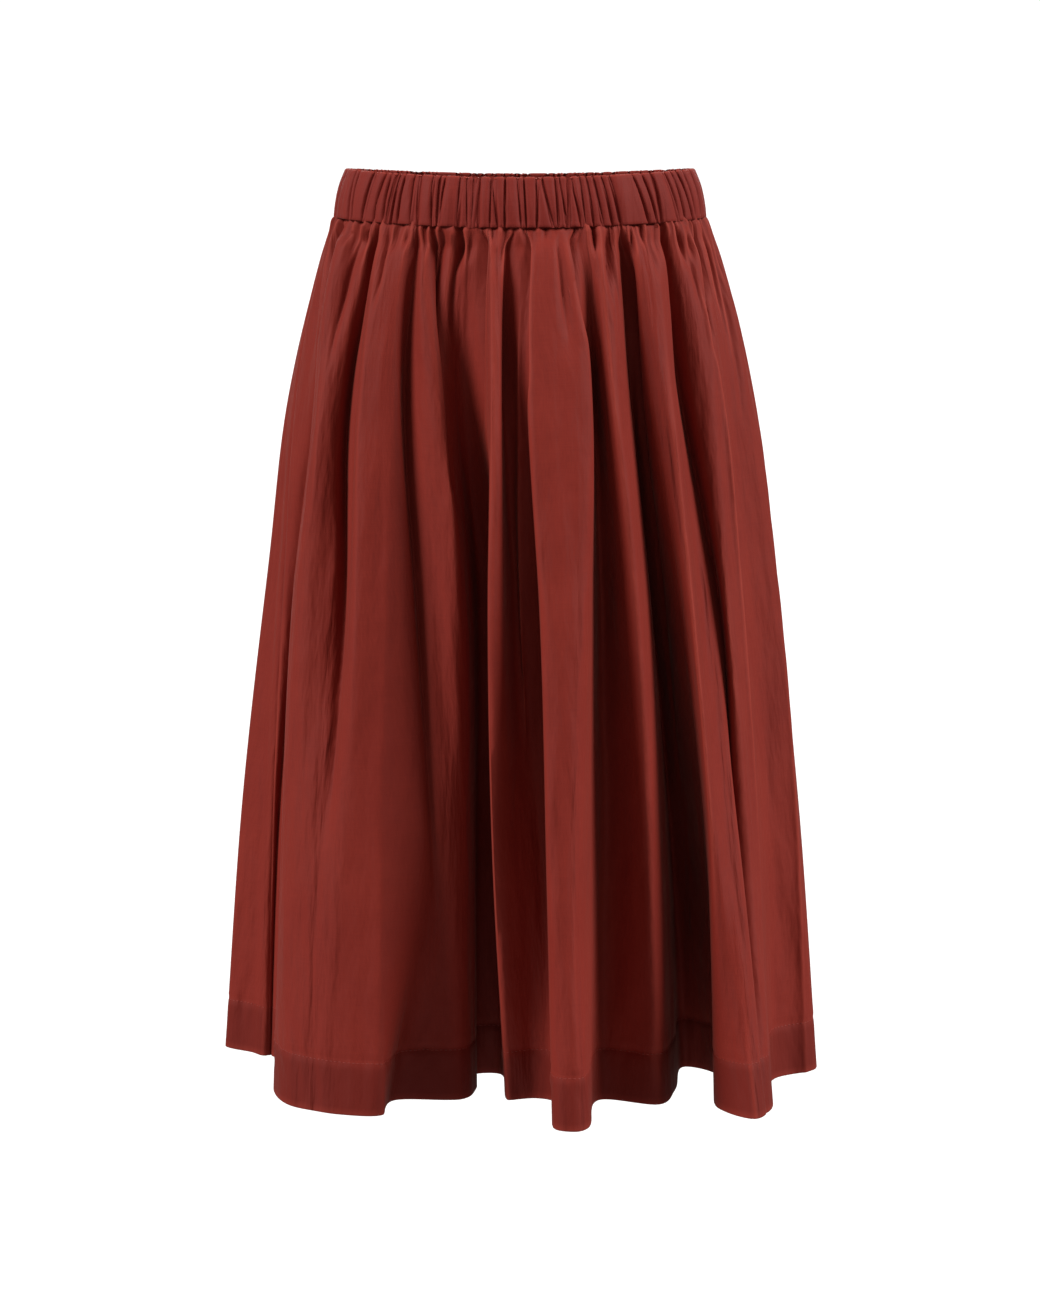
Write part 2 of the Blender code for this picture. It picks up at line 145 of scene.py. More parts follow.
# Creases of the front below the waist seam. The stations are in degrees at the crease's top and foot, the
# drops, the depth and the width in millimetres, and the lip is the side that hangs over the crease, if any.
FRONT_CREASES = (
    # top     foot   from   to   depth width lip
    (-76.2,  -62.3,    6,   90,  5.0,  2.0),
    (-74.8,  -64.7,   16,  120,  5.0,  2.2),
    (-72.9,  -66.1,    0,   75, 10.0,  2.6),
    (-69.4,  -68.5,    0,   16,  6.0,  2.0),
    (-63.6,  -63.1,    0,   20,  6.5,  2.0),
    (-60.2,  -59.5,    0,   34,  5.0,  2.2),
    (-57.1,  -55.0,    0,  120,  9.0,  4.5),
    (-52.2,  -52.8,    0,   34,  6.0,  2.2),
    (-43.0,  -42.0,    0,   70,  7.0,  2.8),
    (-39.8,  -39.5,    0,   24,  6.0,  2.0),
    (-35.1,  -35.1,    0,   20,  5.5,  2.0),
    (-29.8,  -28.5,    0,   26,  5.0,  2.0),
    (-27.0,  -22.0,    0,   70,  8.0,  3.0),
    (-24.0,  -12.3,    0,  230, 13.0,  6.0),
    (-18.6,  -16.0,    0,   90,  7.0,  3.0),
    (-18.0,  -17.0,    0,   36,  6.0,  2.2, "right"),
    (-14.0,  -14.4,    0,   30,  5.0,  2.4),
    (-11.2,   -8.6,    0,  165, 10.0,  2.2, "right"),
    (-8.0,    -8.1,    0,   14,  3.5,  1.8),
    (-4.6,    -6.0,    0,   40,  5.0,  2.6),
    (-1.8,    -3.6,    0,  165,  9.0,  2.8, "left"),
    (0.9,      2.2,    0,  230,  9.0,  2.8, "right"),
    (4.1,      3.7,    0,   20,  4.0,  2.0),
    (8.0,      7.5,    0,   14,  2.5,  2.0),
    (12.2,    13.1,    0,  105,  5.5,  2.6, "left"),
    (14.3,    17.5,    0,   22,  5.0,  2.0),
    (16.8,    18.8,    0,  210, 12.0,  2.6, "left"),
    (22.5,    21.3,    0,   24,  5.5,  2.0),
    (27.0,    24.6,    0,   60,  7.0,  3.2),
    (35.2,    33.7,    0,   24,  6.0,  2.0),
    (38.6,    38.9,    0,   18,  5.5,  2.0),
    (41.8,    40.9,    0,   44,  7.0,  2.4),
    (45.4,    43.5,    0,   30,  6.0,  2.2),
    (54.8,    54.3,    0,   40,  7.0,  2.4),
    (57.6,    56.0,    6,   80,  5.0,  3.2),
    (62.0,    58.0,    0,   34,  6.0,  2.4),
    (66.7,    55.9,    0,  110, 10.0,  2.6),
    (72.5,    64.0,    0,   90,  7.0,  2.6),
    (76.4,    64.8,    0,  120,  6.0,  2.6),
    (80.0,    66.0,    3,  175,  4.5,  3.0),
    (84.0,    80.0,    0,   60,  7.0,  3.0),
)

# Long creases of the front: stations in degrees and depths in millimetres at the five levels, and the
# width in millimetres. A negative depth makes a ridge.
LONG_CREASES = (
    # name             waist   hip    thigh  knee   hem     waist  hip thigh knee  hem  width
    ("lobe_edge",      -74.5, -62.5, -62.5, -60.5, -58.5,    9.0,  9.0,  8.0,  8.0,  7.0,  2.8),
    ("left_groove",    -47.5, -46.6, -42.6, -41.0, -40.0,    8.0, 12.0,  9.0,  0.0,  0.0,  2.2),
    ("left_step",      -29.0, -31.0, -30.0, -28.5, -26.5,    0.0,  0.0, -2.0, -2.5, -2.5,  4.0),
    ("shallow_valley", -32.0, -28.6, -21.8, -17.0, -14.0,    7.0, 11.0,  9.0,  3.0,  0.0,  3.2),
    ("centre_ridge",     0.0,   0.2,   0.5,   1.0,   2.0,    0.0, -4.0, -5.0,  0.0,  0.0,  3.0),
    ("right_valley",    31.6,  29.6,  32.4,  35.5,  38.0,   10.0, 13.0,  4.0,  0.0,  0.0,  2.8),
    ("right_groove",    48.6,  44.1,  47.8,  51.0,  52.6,   10.0, 14.0, 14.0,  9.0,  1.0,  2.8),
    ("right_edge",      57.5,  57.3,  56.1,  54.8,  53.5,    0.0, -2.5, -3.5, -2.5,  0.0,  1.8),
    ("outer_ridge",     80.0,  82.0,  81.0,  76.0,  72.0,    0.0, -1.0, -2.5, -2.5, -1.5,  2.0),
)

# Creases of the ruched waistband's front: stations in degrees at its top and bottom edge, and depth
# in millimetres.
BAND_CREASES = (
    (-79.0, -80.0, 1.4), (-68.5, -66.0, 1.8), (-64.8, -63.0, 1.2), (-55.0, -57.0, 1.9), (-53.5, -55.5, 1.1),
    (-48.5, -50.5, 1.6), (-45.8, -46.3, 1.1), (-43.2, -44.4, 2.1), (-41.5, -42.6, 1.5), (-39.5, -39.9, 1.0),
    (-35.6, -34.3, 1.9), (-33.4, -32.2, 1.3), (-28.6, -27.2, 1.5), (-26.2, -25.5, 1.9), (-24.3, -25.0, 1.0),
    (-19.1, -18.6, 2.0), (-16.9, -15.8, 1.4), (-14.8, -14.0, 1.8), (-13.1, -12.4, 1.9), (-9.2, -9.0, 1.2),
    (-8.4, -6.6, 1.6), (-4.7, -4.5, 2.1), (-0.8, 0.4, 1.2), (1.2, 2.0, 1.5), (5.4, 5.0, 1.9),
    (6.9, 10.0, 2.0), (11.2, 11.6, 1.8), (12.6, 14.0, 1.3), (15.2, 14.8, 1.9), (16.2, 18.6, 1.4),
    (19.2, 19.7, 1.7), (21.6, 22.6, 1.5), (24.0, 25.5, 1.9), (26.8, 28.8, 1.7), (29.6, 31.6, 2.0),
    (38.8, 42.4, 1.3), (42.8, 46.0, 1.1), (47.2, 48.0, 1.9), (54.0, 57.0, 2.0), (58.4, 60.6, 1.4),
    (61.8, 66.4, 1.9), (67.2, 70.0, 1.2), (75.0, 75.8, 1.4), (84.0, 84.5, 1.3),
)

# The creases of the back follow rules too: a deep one into each valley, and gathers between, some long.
# Places are in degrees, and depths, widths and feet (the drops where they have run out) in millimetres.
# The two sorts of gathers are given by their feet and their depths.
BACK_CREASE_SEED = 14
DEEP_STRAY = 1.5
DEEP_DEPTHS = (8.0, 12.0)
DEEP_WIDTHS = (3.0, 4.0)
DEEP_FEET = (150, 260)
GATHERS_FIRST = 92.5
GATHERS_LAST = 268
GATHER_PITCHES = (2.8, 5.6)
GATHER_STRAY = 1.6
GATHER_WIDTHS = (2.0, 3.0)
SHORT_GATHERS = ((10, 26), (3.4, 4.8))
LONG_GATHERS = ((35, 110), (4.5, 7.0))
LONG_SHARE = 0.45

# Creases of the ruched waistband's back: how far they lean and the distances between them in degrees,
# each of which varies by the last range, and their depths in millimetres.
BAND_BACK_SEED = 31
BAND_BACK_FROM_TO = (92.0, 268)
BAND_BACK_LEAN = 1.4
BAND_BACK_DEPTHS = (1.0, 2.1)
BAND_BACK_PITCHES = (1.5, 2.2, 3.0, 3.6, 4.4, 5.4, 7.0)
BAND_BACK_VARIES = (0.85, 1.15)

# Edges of the cloth that turn by more than this are drawn sharp.
SHARP_ANGLE = math.radians(78)


class Lip(Enum):
    """Which side of a crease hangs over it. The value points along the cloth, from left to right."""

    LEFT = -1.0
    NEITHER = 0.0
    RIGHT = 1.0


class Half(Enum):
    """The two halves that the skirt is sewn from. The value is the station of the half's first side seam."""

    FRONT = -90.0
    BACK = 90.0


def linear(code: str) -> tuple[float, float, float, float]:
    """Turns an sRGB hex colour into a linear one.

    Args:
        code: the colour, such as #80301F.

    Returns:
        Linear red, green, blue and an alpha of 1.
    """
    shares = [int(code[place : place + 2], 16) / 255 for place in (1, 3, 5)]
    red, green, blue = (s / 12.92 if s <= 0.04045 else ((s + 0.055) / 1.055) ** 2.4 for s in shares)
    return red, green, blue, 1.0


def ease(share: np.ndarray | float) -> np.ndarray | float:
    """Gives 0 below a share of 0, 1 above 1, and a step between that starts and ends level."""
    held = np.clip(share, 0.0, 1.0)
    return held * held * (3 - 2 * held)


def per_row(values: np.ndarray, columns: int) -> np.ndarray:
    """Spreads one value a row over all the columns of a sheet."""
    return np.repeat(values[:, None], columns, axis=1)


def seam_dip(across: np.ndarray, half_width: float) -> np.ndarray:
    """Gives how far the waist seam dips at distances to the side of its middle."""
    return CENTRE_DIP * np.clip(1 - (across / half_width) ** 2, 0.0, 1.0)


def smooth_value(places: tuple[float, ...], values: tuple[float, ...], place: float) -> float:
    """Reads a smooth curve through a short table.

    Args:
        places: where the values are given, rising.
        values: the values there.
        place: where the curve is read.

    Returns:
        The curve's value.
    """
    slopes = np.gradient(values, places)
    step = int(np.clip(np.searchsorted(places, place, side="right") - 1, 0, len(places) - 2))
    width = places[step + 1] - places[step]
    part = (place - places[step]) / width
    return float(
        (2 * part**3 - 3 * part**2 + 1) * values[step]
        + (part**3 - 2 * part**2 + part) * width * slopes[step]
        + (3 * part**2 - 2 * part**3) * values[step + 1]
        + (part**3 - part**2) * width * slopes[step + 1]
    )


@dataclass(frozen=True)
class GeneralForm:
    """An oval form that widens along its height.

    Attributes:
        rows: height or drop, half width and half depth.
    """

    rows: tuple[tuple[float, float, float], ...]

    def half_sizes(self, place: float) -> tuple[float, float]:
        """Gives the half width and half depth at a drop or height."""
        places, widths, depths = zip(*self.rows)
        return smooth_value(places, widths, place), smooth_value(places, depths, place)

    def stations(self, points: np.ndarray, place: float) -> np.ndarray:
        """Gives the stations in degrees of points in plan at a drop or height."""
        half_width, half_depth = self.half_sizes(place)
        return np.degrees(np.arctan2(points[:, 0] / half_width, -points[:, 1] / half_depth))

    def metres_per_degree(self, stations: np.ndarray, place: float) -> np.ndarray:
        """Gives how far one degree reaches along the form at each station."""
        (half_width, half_depth), angles = self.half_sizes(place), np.radians(stations)
        return np.hypot(half_width * np.cos(angles), half_depth * np.sin(angles)) * math.pi / 180


@dataclass(frozen=True)
class FoldLine:
    """A crest or valley of the cloth from waist to hem.

    Attributes:
        name: what it is.
        stations: degrees at the five levels.
        stand_outs: metres out of the general form at the five levels.
    """

    name: str
    stations: tuple[float, ...]
    stand_outs: tuple[float, ...]

    @classmethod
    def from_row(cls, row: tuple) -> "FoldLine":
        """Makes the fold line that a row of a table describes."""
        stand_outs = tuple(number * MM for number in row[1 + len(LEVELS) :])
        return cls(row[0], row[1 : 1 + len(LEVELS)], (0.0,) + stand_outs)

    def corner(self, form: GeneralForm, drop: float) -> np.ndarray:
        """Finds where the line crosses a level.

        Args:
            form: the general form that the line stands out of.
            drop: the level's drop.

        Returns:
            The point in plan.
        """
        half_width, half_depth = form.half_sizes(drop)
        angle = math.radians(smooth_value(LEVELS, self.stations, drop))
        outward = np.array([SIDEWAYS * math.sin(angle), -math.cos(angle)])
        base = np.array([half_width * math.sin(angle), -half_depth * math.cos(angle)])
        return base + outward * (smooth_value(LEVELS, self.stand_outs, drop) / np.linalg.norm(outward))


@dataclass(frozen=True)
class Crease:
    """A soft trough pressed or drawn into the cloth, deepest along its line and gone at its foot.

    Attributes:
        start: the station in degrees at its top.
        end: the station at its foot.
        top: the drop at which it begins.
        foot: the drop at which it has run out.
        depth: how deep it is. A negative depth makes a ridge.
        width: the distance in which it rises out of its line.
        lip: the side that hangs over it.
        run: for a long crease, its stations at the five levels.
        depths: for a long crease, its depths at the five levels.
    """

    start: float
    end: float
    top: float
    foot: float
    depth: float
    width: float
    lip: Lip = Lip.NEITHER
    run: tuple[float, ...] = ()
    depths: tuple[float, ...] = ()

    # The line of a crease is rounded this much, its walls fall off with this power, and its foot fades
    # over this share of its length. At the waist seam its depth and width are held to these, and both
    # have swelled to their full size this far below. It is at least this many column spacings wide,
    # and leans by this angle under a lip.
    ROUNDING = 0.5 * MM
    POWER = 1.2
    FADE = 0.62
    SEAM_DEPTH = 3.4 * MM
    SEAM_WIDTH_SHARE = 0.6
    SWELL = 16 * MM
    LEAST_SPACINGS = 1.7
    LEAN = math.radians(40)

    def share(self, drop: float) -> float:
        """Gives how far down the crease a drop is: 0 at its top and 1 at its foot."""
        return (drop - self.top) / (self.foot - self.top)

    def fullness(self, drop: float) -> float:
        """Gives how full the crease is at a drop.

        Args:
            drop: the drop.

        Returns:
            The share of its depth that it has there.
        """
        share = self.share(drop)
        if not 0 <= share < 1:
            return 0.0
        if self.top > 0:
            swell = ease((drop - self.top) / min(2 * self.SWELL, (self.foot - self.top) / 2))
        else:
            start = min(1.0, self.SEAM_DEPTH / abs(self.depth))
            swell = start + (1 - start) * ease(drop / self.SWELL)
        if self.depths:
            return swell * smooth_value(LEVELS, self.depths, drop) / self.depth
        return float(swell * (1 - ease((share - 1 + self.FADE) / self.FADE)))

    def station(self, drop: float) -> float:
        """Gives the crease's station at a drop, and its nearest end's station beyond its ends."""
        straight = self.start + (self.end - self.start) * min(max(self.share(drop), 0.0), 1.0)
        return smooth_value(LEVELS, self.run, min(max(drop, 0.0), SKIRT_DROP)) if self.run else straight

    def offsets(self, away: np.ndarray, spacing: float, drop: float) -> tuple[np.ndarray, np.ndarray]:
        """Gives how far the crease moves a row of points.

        Args:
            away: each point's distance along the cloth to the right of the crease's line.
            spacing: the distance between the points at the crease.
            drop: the row's drop.

        Returns:
            How far each point goes out (negative is inwards) and along the cloth to the right.
        """
        rounded = np.sqrt(away**2 + self.ROUNDING**2) - self.ROUNDING
        swelled = self.SEAM_WIDTH_SHARE + (1 - self.SEAM_WIDTH_SHARE) * ease(drop / self.SWELL)
        width = max(self.width * swelled, self.LEAST_SPACINGS * spacing)
        size = self.depth * self.fullness(drop) * np.exp(-((rounded / width) ** self.POWER))
        lean = self.LEAN * abs(self.lip.value)
        return -size * math.cos(lean), size * math.sin(lean) * self.lip.value


def back_fold_lines() -> list[FoldLine]:
    """Makes the valleys and broad crests of the back in turn, each at its own uneven place and depth.

    Returns:
        The fold lines from the right side seam to the left.
    """
    dice = random.Random(BACK_SEED)
    pitch = (BACK_LAST - BACK_FIRST) / BACK_FOLD_COUNT
    lines = []
    for fold in range(BACK_FOLD_COUNT):
        start = BACK_FIRST + pitch * fold
        for name, shift, ranges in BACK_PATTERN:
            station = start + pitch * (shift + dice.uniform(-BACK_UNEVEN, BACK_UNEVEN))
            share = dice.random()
            lean = dice.uniform(-BACK_LEAN, BACK_LEAN)
            stations = tuple(station + lean * level for level in range(len(LEVELS)))
            depth = BACK_SIDE_SHARE + (1 - BACK_SIDE_SHARE) * abs(math.cos(math.radians(station)))
            stand_outs = tuple(depth * (low + share * (high - low)) * MM for low, high in ranges)
            lines.append(FoldLine(f"back_{name}_{fold}", stations, (0.0,) + stand_outs))
    return lines


def front_creases() -> list[Crease]:
    """Makes the creases of the front from their two tables.

    Returns:
        The short creases and then the long ones.
    """
    creases = []
    for start, end, top, foot, depth, width, *lip in FRONT_CREASES:
        side = Lip[lip[0].upper()] if lip else Lip.NEITHER
        creases.append(Crease(start, end, top * MM, foot * MM, depth * MM, width * MM, side))
    for _, *numbers, width in LONG_CREASES:
        run = tuple(numbers[: len(LEVELS)])
        depths = tuple(number * MM for number in numbers[len(LEVELS) :])
        deepest = max(depths, key=abs)
        foot = SKIRT_DROP + 1 * MM
        creases.append(Crease(run[0], run[-1], 0.0, foot, deepest, width * MM, Lip.NEITHER, run, depths))
    return creases


def back_creases(lines: list[FoldLine]) -> list[Crease]:
    """Makes the creases of the back, like the front's: a deep one into each valley and gathers between.

    Args:
        lines: the back's fold lines.

    Returns:
        The creases, each sort from the right side seam to the left.
    """
    dice = random.Random(BACK_CREASE_SEED)
    creases = []
    for line in lines:
        if "valley" not in line.name:
            continue
        lip = Lip.RIGHT if dice.random() < 0.5 else Lip.LEFT
        start = line.stations[0] + dice.uniform(-DEEP_STRAY, DEEP_STRAY)
        depth, width, foot = (dice.uniform(*sizes) * MM for sizes in (DEEP_DEPTHS, DEEP_WIDTHS, DEEP_FEET))
        creases.append(Crease(start, line.stations[2], 0.0, foot, depth, width, lip))
    station = GATHERS_FIRST
    while station < GATHERS_LAST:
        feet, depths = LONG_GATHERS if dice.random() < LONG_SHARE else SHORT_GATHERS
        foot = dice.uniform(*feet) * MM
        depth = dice.uniform(*depths) * MM
        end = station + dice.uniform(-GATHER_STRAY, GATHER_STRAY)
        creases.append(Crease(station, end, 0.0, foot, depth, dice.uniform(*GATHER_WIDTHS) * MM))
        station += dice.uniform(*GATHER_PITCHES)
    return creases


def select_only(piece: bpy.types.Object | None) -> None:
    """Deselects everything, and then selects one object, if any, and makes it the active one.

    Args:
        piece: the object, or nothing.
    """
    bpy.ops.object.select_all(action="DESELECT")
    bpy.context.view_layer.objects.active = piece
    if piece is not None:
        piece.select_set(True)


def sheet_from_grid(name: str, points: np.ndarray, flat: np.ndarray) -> bpy.types.Object:
    """Adds a grid and shapes it into a sheet of cloth.

    Args:
        name: the piece's name.
        points: the sheet's points as rows, columns and x, y, z. The rows rise where the columns run to the
            right over a face that looks to the front.
        flat: each point's place on the flat cut in metres, for its UV map.

    Returns:
        The piece, with its place in its mesh.
    """
    rows, columns, _ = points.shape
    select_only(None)
    bpy.ops.mesh.primitive_grid_add(
        x_subdivisions=columns - 1, y_subdivisions=rows - 1, size=1, calc_uvs=True
    )
    piece = bpy.context.active_object
    piece.name = piece.data.name = name
    mesh = piece.data
    mesh.vertices.foreach_set("co", points.reshape(-1).astype(np.float32))
    corners = np.empty(len(mesh.loops), dtype=np.int32)
    mesh.loops.foreach_get("vertex_index", corners)
    places = flat.reshape(-1, 2)[corners].reshape(-1).astype(np.float32)
    mesh.uv_layers.active.data.foreach_set("uv", places)
    mesh.update()
    return piece


def mark_points(piece: bpy.types.Object, name: str, values: np.ndarray) -> None:
    """Stores a value at each of a piece's points as an attribute, for its material to read."""
    attribute = piece.data.attributes.new(name, "FLOAT", "POINT")
    attribute.data.foreach_set("value", values.reshape(-1).astype(np.float32))


def thicken(piece: bpy.types.Object, thickness: float, shares: np.ndarray) -> None:
    """Gives a sheet its cloth's thickness, inwards from its face.

    Args:
        piece: the sheet.
        thickness: the greatest thickness.
        shares: each point's share of it.
    """
    group = piece.vertex_groups.new(name="thickness")
    flat_shares = shares.reshape(-1)
    for share in np.unique(flat_shares):
        group.add(np.flatnonzero(flat_shares == share).tolist(), float(share), "REPLACE")
    solid = piece.modifiers.new("cloth", "SOLIDIFY")
    solid.thickness = thickness
    solid.offset = -1
    solid.vertex_group = group.name
    select_only(piece)
    bpy.ops.object.modifier_apply(modifier=solid.name)
    bpy.ops.object.shade_smooth_by_angle(angle=SHARP_ANGLE)


def add_node(tree: bpy.types.NodeTree, kind: str, settings: dict, inputs: dict) -> bpy.types.Node:
    """Adds a node with its settings and links.

    Args:
        tree: the material's nodes.
        kind: the node's type name.
        settings: the node's own properties.
        inputs: for each input's name or number, a value or the socket that it takes.

    Returns:
        The node.
    """
    node = tree.nodes.new(kind)
    for name, value in settings.items():
        setattr(node, name, value)
    for key, value in inputs.items():
        fitting = [socket for socket in node.inputs if socket.name == key and socket.enabled]
        socket = node.inputs[key] if isinstance(key, int) else fitting[0]
        if isinstance(value, bpy.types.NodeSocket):
            tree.links.new(value, socket)
        else:
            socket.default_value = value
    return node


@dataclass(frozen=True)
class CottonFinish:
    """Plain-woven cotton, piece-dyed brick red, with a faint sheen.

    The yarn's fuzz gives a soft sheen towards the edges of a form and a broad, weak gloss. Slubs, thicker
    places in the yarn, leave short streaks along both thread directions, and handling leaves soft crinkles.

    Attributes:
        name: the material's name.
        cloth: the dye's colour.
        faded: the colour of its slightly faded places.
        doubled: the colour of the hem, where no light comes through its layers.
        painted_highlight: the colour of a highlight painted along its folded edges, paler where they would
            catch the light.
        fuzz: the colour of its sheen.
        thread_mm: the distance from thread to thread. The real 0.3 mm is drawn coarser, to show close up.
        slub_mm: width and length of a slub's streak.
        crinkle_mm: width and length of a soft crinkle.
        soft_fold_mm: width and length of a shallow fold left by wear.
        mottle_mm: the size of the dye's light and dark places.
        relief_mm: how high the threads, slubs, crinkles and shallow folds stand.
        streak: how much a slub changes the dye's tone.
        roughness: of the weak gloss, between the slubs and on them.
        gloss: how strong that gloss is.
        sheen: how strong the sheen is.
        sheen_roughness: how broad the sheen is.
        refraction: the fibre's index of refraction.
    """

    name: str = "brick_red_woven_cotton"
    cloth: str = "#7A2016"
    faded: str = "#86281C"
    doubled: str = "#701C12"
    painted_highlight: str = "#9C382B"
    fuzz: str = "#F2B9A8"
    thread_mm: float = 0.7
    slub_mm: tuple[float, float] = (0.9, 16.0)
    crinkle_mm: tuple[float, float] = (7.0, 26.0)
    soft_fold_mm: tuple[float, float] = (24.0, 110.0)
    mottle_mm: float = 70.0
    relief_mm: tuple[float, ...] = (0.02, 0.05, 1.3, 6.0)
    streak: float = 0.22
    roughness: tuple[float, float] = (0.64, 0.76)
    gloss: float = 0.20
    sheen: float = 0.08
    sheen_roughness: float = 0.45
    refraction: float = 1.5

    def material(self) -> bpy.types.Material:
        """Makes the material.

        Returns:
            The material. It reads the piece's UV map in metres and its attributes "doubled",
            "painted_highlight" (how much of the painted highlight a folded edge gets) and "across": a point's
            place across the folds, which fan out down the cloth as its threads don't.
        """
        made = bpy.data.materials.new(self.name)
        made.use_nodes = True
        made.diffuse_color = linear(self.cloth)
        tree = made.node_tree
        shader = tree.nodes["Principled BSDF"]
        shader.inputs["Sheen Weight"].default_value = self.sheen
        shader.inputs["Sheen Roughness"].default_value = self.sheen_roughness
        shader.inputs["Sheen Tint"].default_value = linear(self.fuzz)
        shader.inputs["Specular IOR Level"].default_value = self.gloss
        shader.inputs["IOR"].default_value = self.refraction

        place = add_node(tree, "ShaderNodeUVMap", {"uv_map": "UVMap"}, {}).outputs["UV"]
        down = add_node(tree, "ShaderNodeSeparateXYZ", {}, {"Vector": place}).outputs["Y"]
        doubled, painted_highlight, across = (
            add_node(tree, "ShaderNodeAttribute", {"attribute_name": name}, {}).outputs["Fac"]
            for name in ("doubled", "painted_highlight", "across")
        )
        fall = add_node(tree, "ShaderNodeCombineXYZ", {}, {"X": across, "Y": down}).outputs["Vector"]
        mottle = self.spots(tree, place, (self.mottle_mm, self.mottle_mm), 3.0)
        slub_sizes = (self.slub_mm, self.slub_mm[::-1])
        slubs = {number: self.spots(tree, place, size, 1.0) for number, size in enumerate(slub_sizes)}
        slubs = add_node(tree, "ShaderNodeMath", {"operation": "ADD"}, slubs).outputs[0]
        limits = {"From Min": 0.75, "From Max": 1.25, "To Min": -self.streak, "To Max": self.streak}
        streaks = add_node(tree, "ShaderNodeMapRange", {"clamp": True}, {"Value": slubs, **limits})
        tone = {0: mottle, 1: streaks.outputs["Result"]}
        tone = add_node(tree, "ShaderNodeMath", {"operation": "ADD"}, tone).outputs[0]
        colour = linear(self.cloth)
        # The last mix paints a highlight: a paler colour along folded edges, where they would catch the
        # light.
        for share, other in ((tone, self.faded), (doubled, self.doubled), (painted_highlight, self.painted_highlight)):
            inputs = {"Factor": share, "A": colour, "B": linear(other)}
            colour = add_node(tree, "ShaderNodeMix", {"data_type": "RGBA"}, inputs).outputs["Result"]
        tree.links.new(colour, shader.inputs["Base Color"])

        limits = {"From Max": 2.0, "To Min": self.roughness[0], "To Max": self.roughness[1]}
        rough = add_node(tree, "ShaderNodeMapRange", {}, {"Value": slubs, **limits})
        tree.links.new(rough.outputs["Result"], shader.inputs["Roughness"])

        crinkles = self.spots(tree, fall, self.crinkle_mm, 2.0)
        soft_folds = self.spots(tree, fall, self.soft_fold_mm, 1.0)
        below = {}
        for height, size in zip((self.weave(tree, place), slubs, crinkles, soft_folds), self.relief_mm):
            inputs = {"Height": height, "Distance": size * MM, "Strength": 1.0, **below}
            below = {"Normal": add_node(tree, "ShaderNodeBump", {}, inputs).outputs["Normal"]}
        tree.links.new(below["Normal"], shader.inputs["Normal"])
        return made

    @staticmethod
    def spots(
        tree: bpy.types.NodeTree, place: bpy.types.NodeSocket, size_mm: tuple[float, float], detail: float
    ) -> bpy.types.NodeSocket:
        """Adds a noise of long or round spots.

        Args:
            tree: the material's nodes.
            place: the place on the cloth in metres.
            size_mm: the spots' width and length in millimetres.
            detail: how fine the noise goes.

        Returns:
            The noise's value.
        """
        scale = (1000 / size_mm[0], 1000 / size_mm[1], 1.0)
        spread = add_node(tree, "ShaderNodeMapping", {}, {"Vector": place, "Scale": scale}).outputs["Vector"]
        inputs = {"Vector": spread, "Scale": 1.0, "Detail": detail}
        return add_node(tree, "ShaderNodeTexNoise", {}, inputs).outputs["Fac"]

    def weave(self, tree: bpy.types.NodeTree, place: bpy.types.NodeSocket) -> bpy.types.NodeSocket:
        """Adds the plain weave, threads over and under in turn.

        Args:
            tree: the material's nodes.
            place: the place on the cloth in metres.

        Returns:
            The weave's height.
        """
        turns = math.pi * 1000 / self.thread_mm
        parts = add_node(tree, "ShaderNodeSeparateXYZ", {}, {"Vector": place}).outputs
        waves = {}
        for number, axis in enumerate(("X", "Y")):
            angle = {0: parts[axis], 1: turns}
            angle = add_node(tree, "ShaderNodeMath", {"operation": "MULTIPLY"}, angle).outputs[0]
            waves[number] = add_node(tree, "ShaderNodeMath", {"operation": "SINE"}, {0: angle}).outputs[0]
        return add_node(tree, "ShaderNodeMath", {"operation": "MULTIPLY"}, waves).outputs[0]


def thread_finish() -> bpy.types.Material:
    """Makes the polyester sewing thread, a shade lighter than the cloth and slightly glossy.

    Returns:
        The material.
    """
    made = bpy.data.materials.new("brick_red_polyester_thread")
    made.use_nodes = True
    made.diffuse_color = linear("#8A2D20")
    shader = made.node_tree.nodes["Principled BSDF"]
    shader.inputs["Base Color"].default_value = linear("#8A2D20")
    shader.inputs["Roughness"].default_value = 0.45
    return made


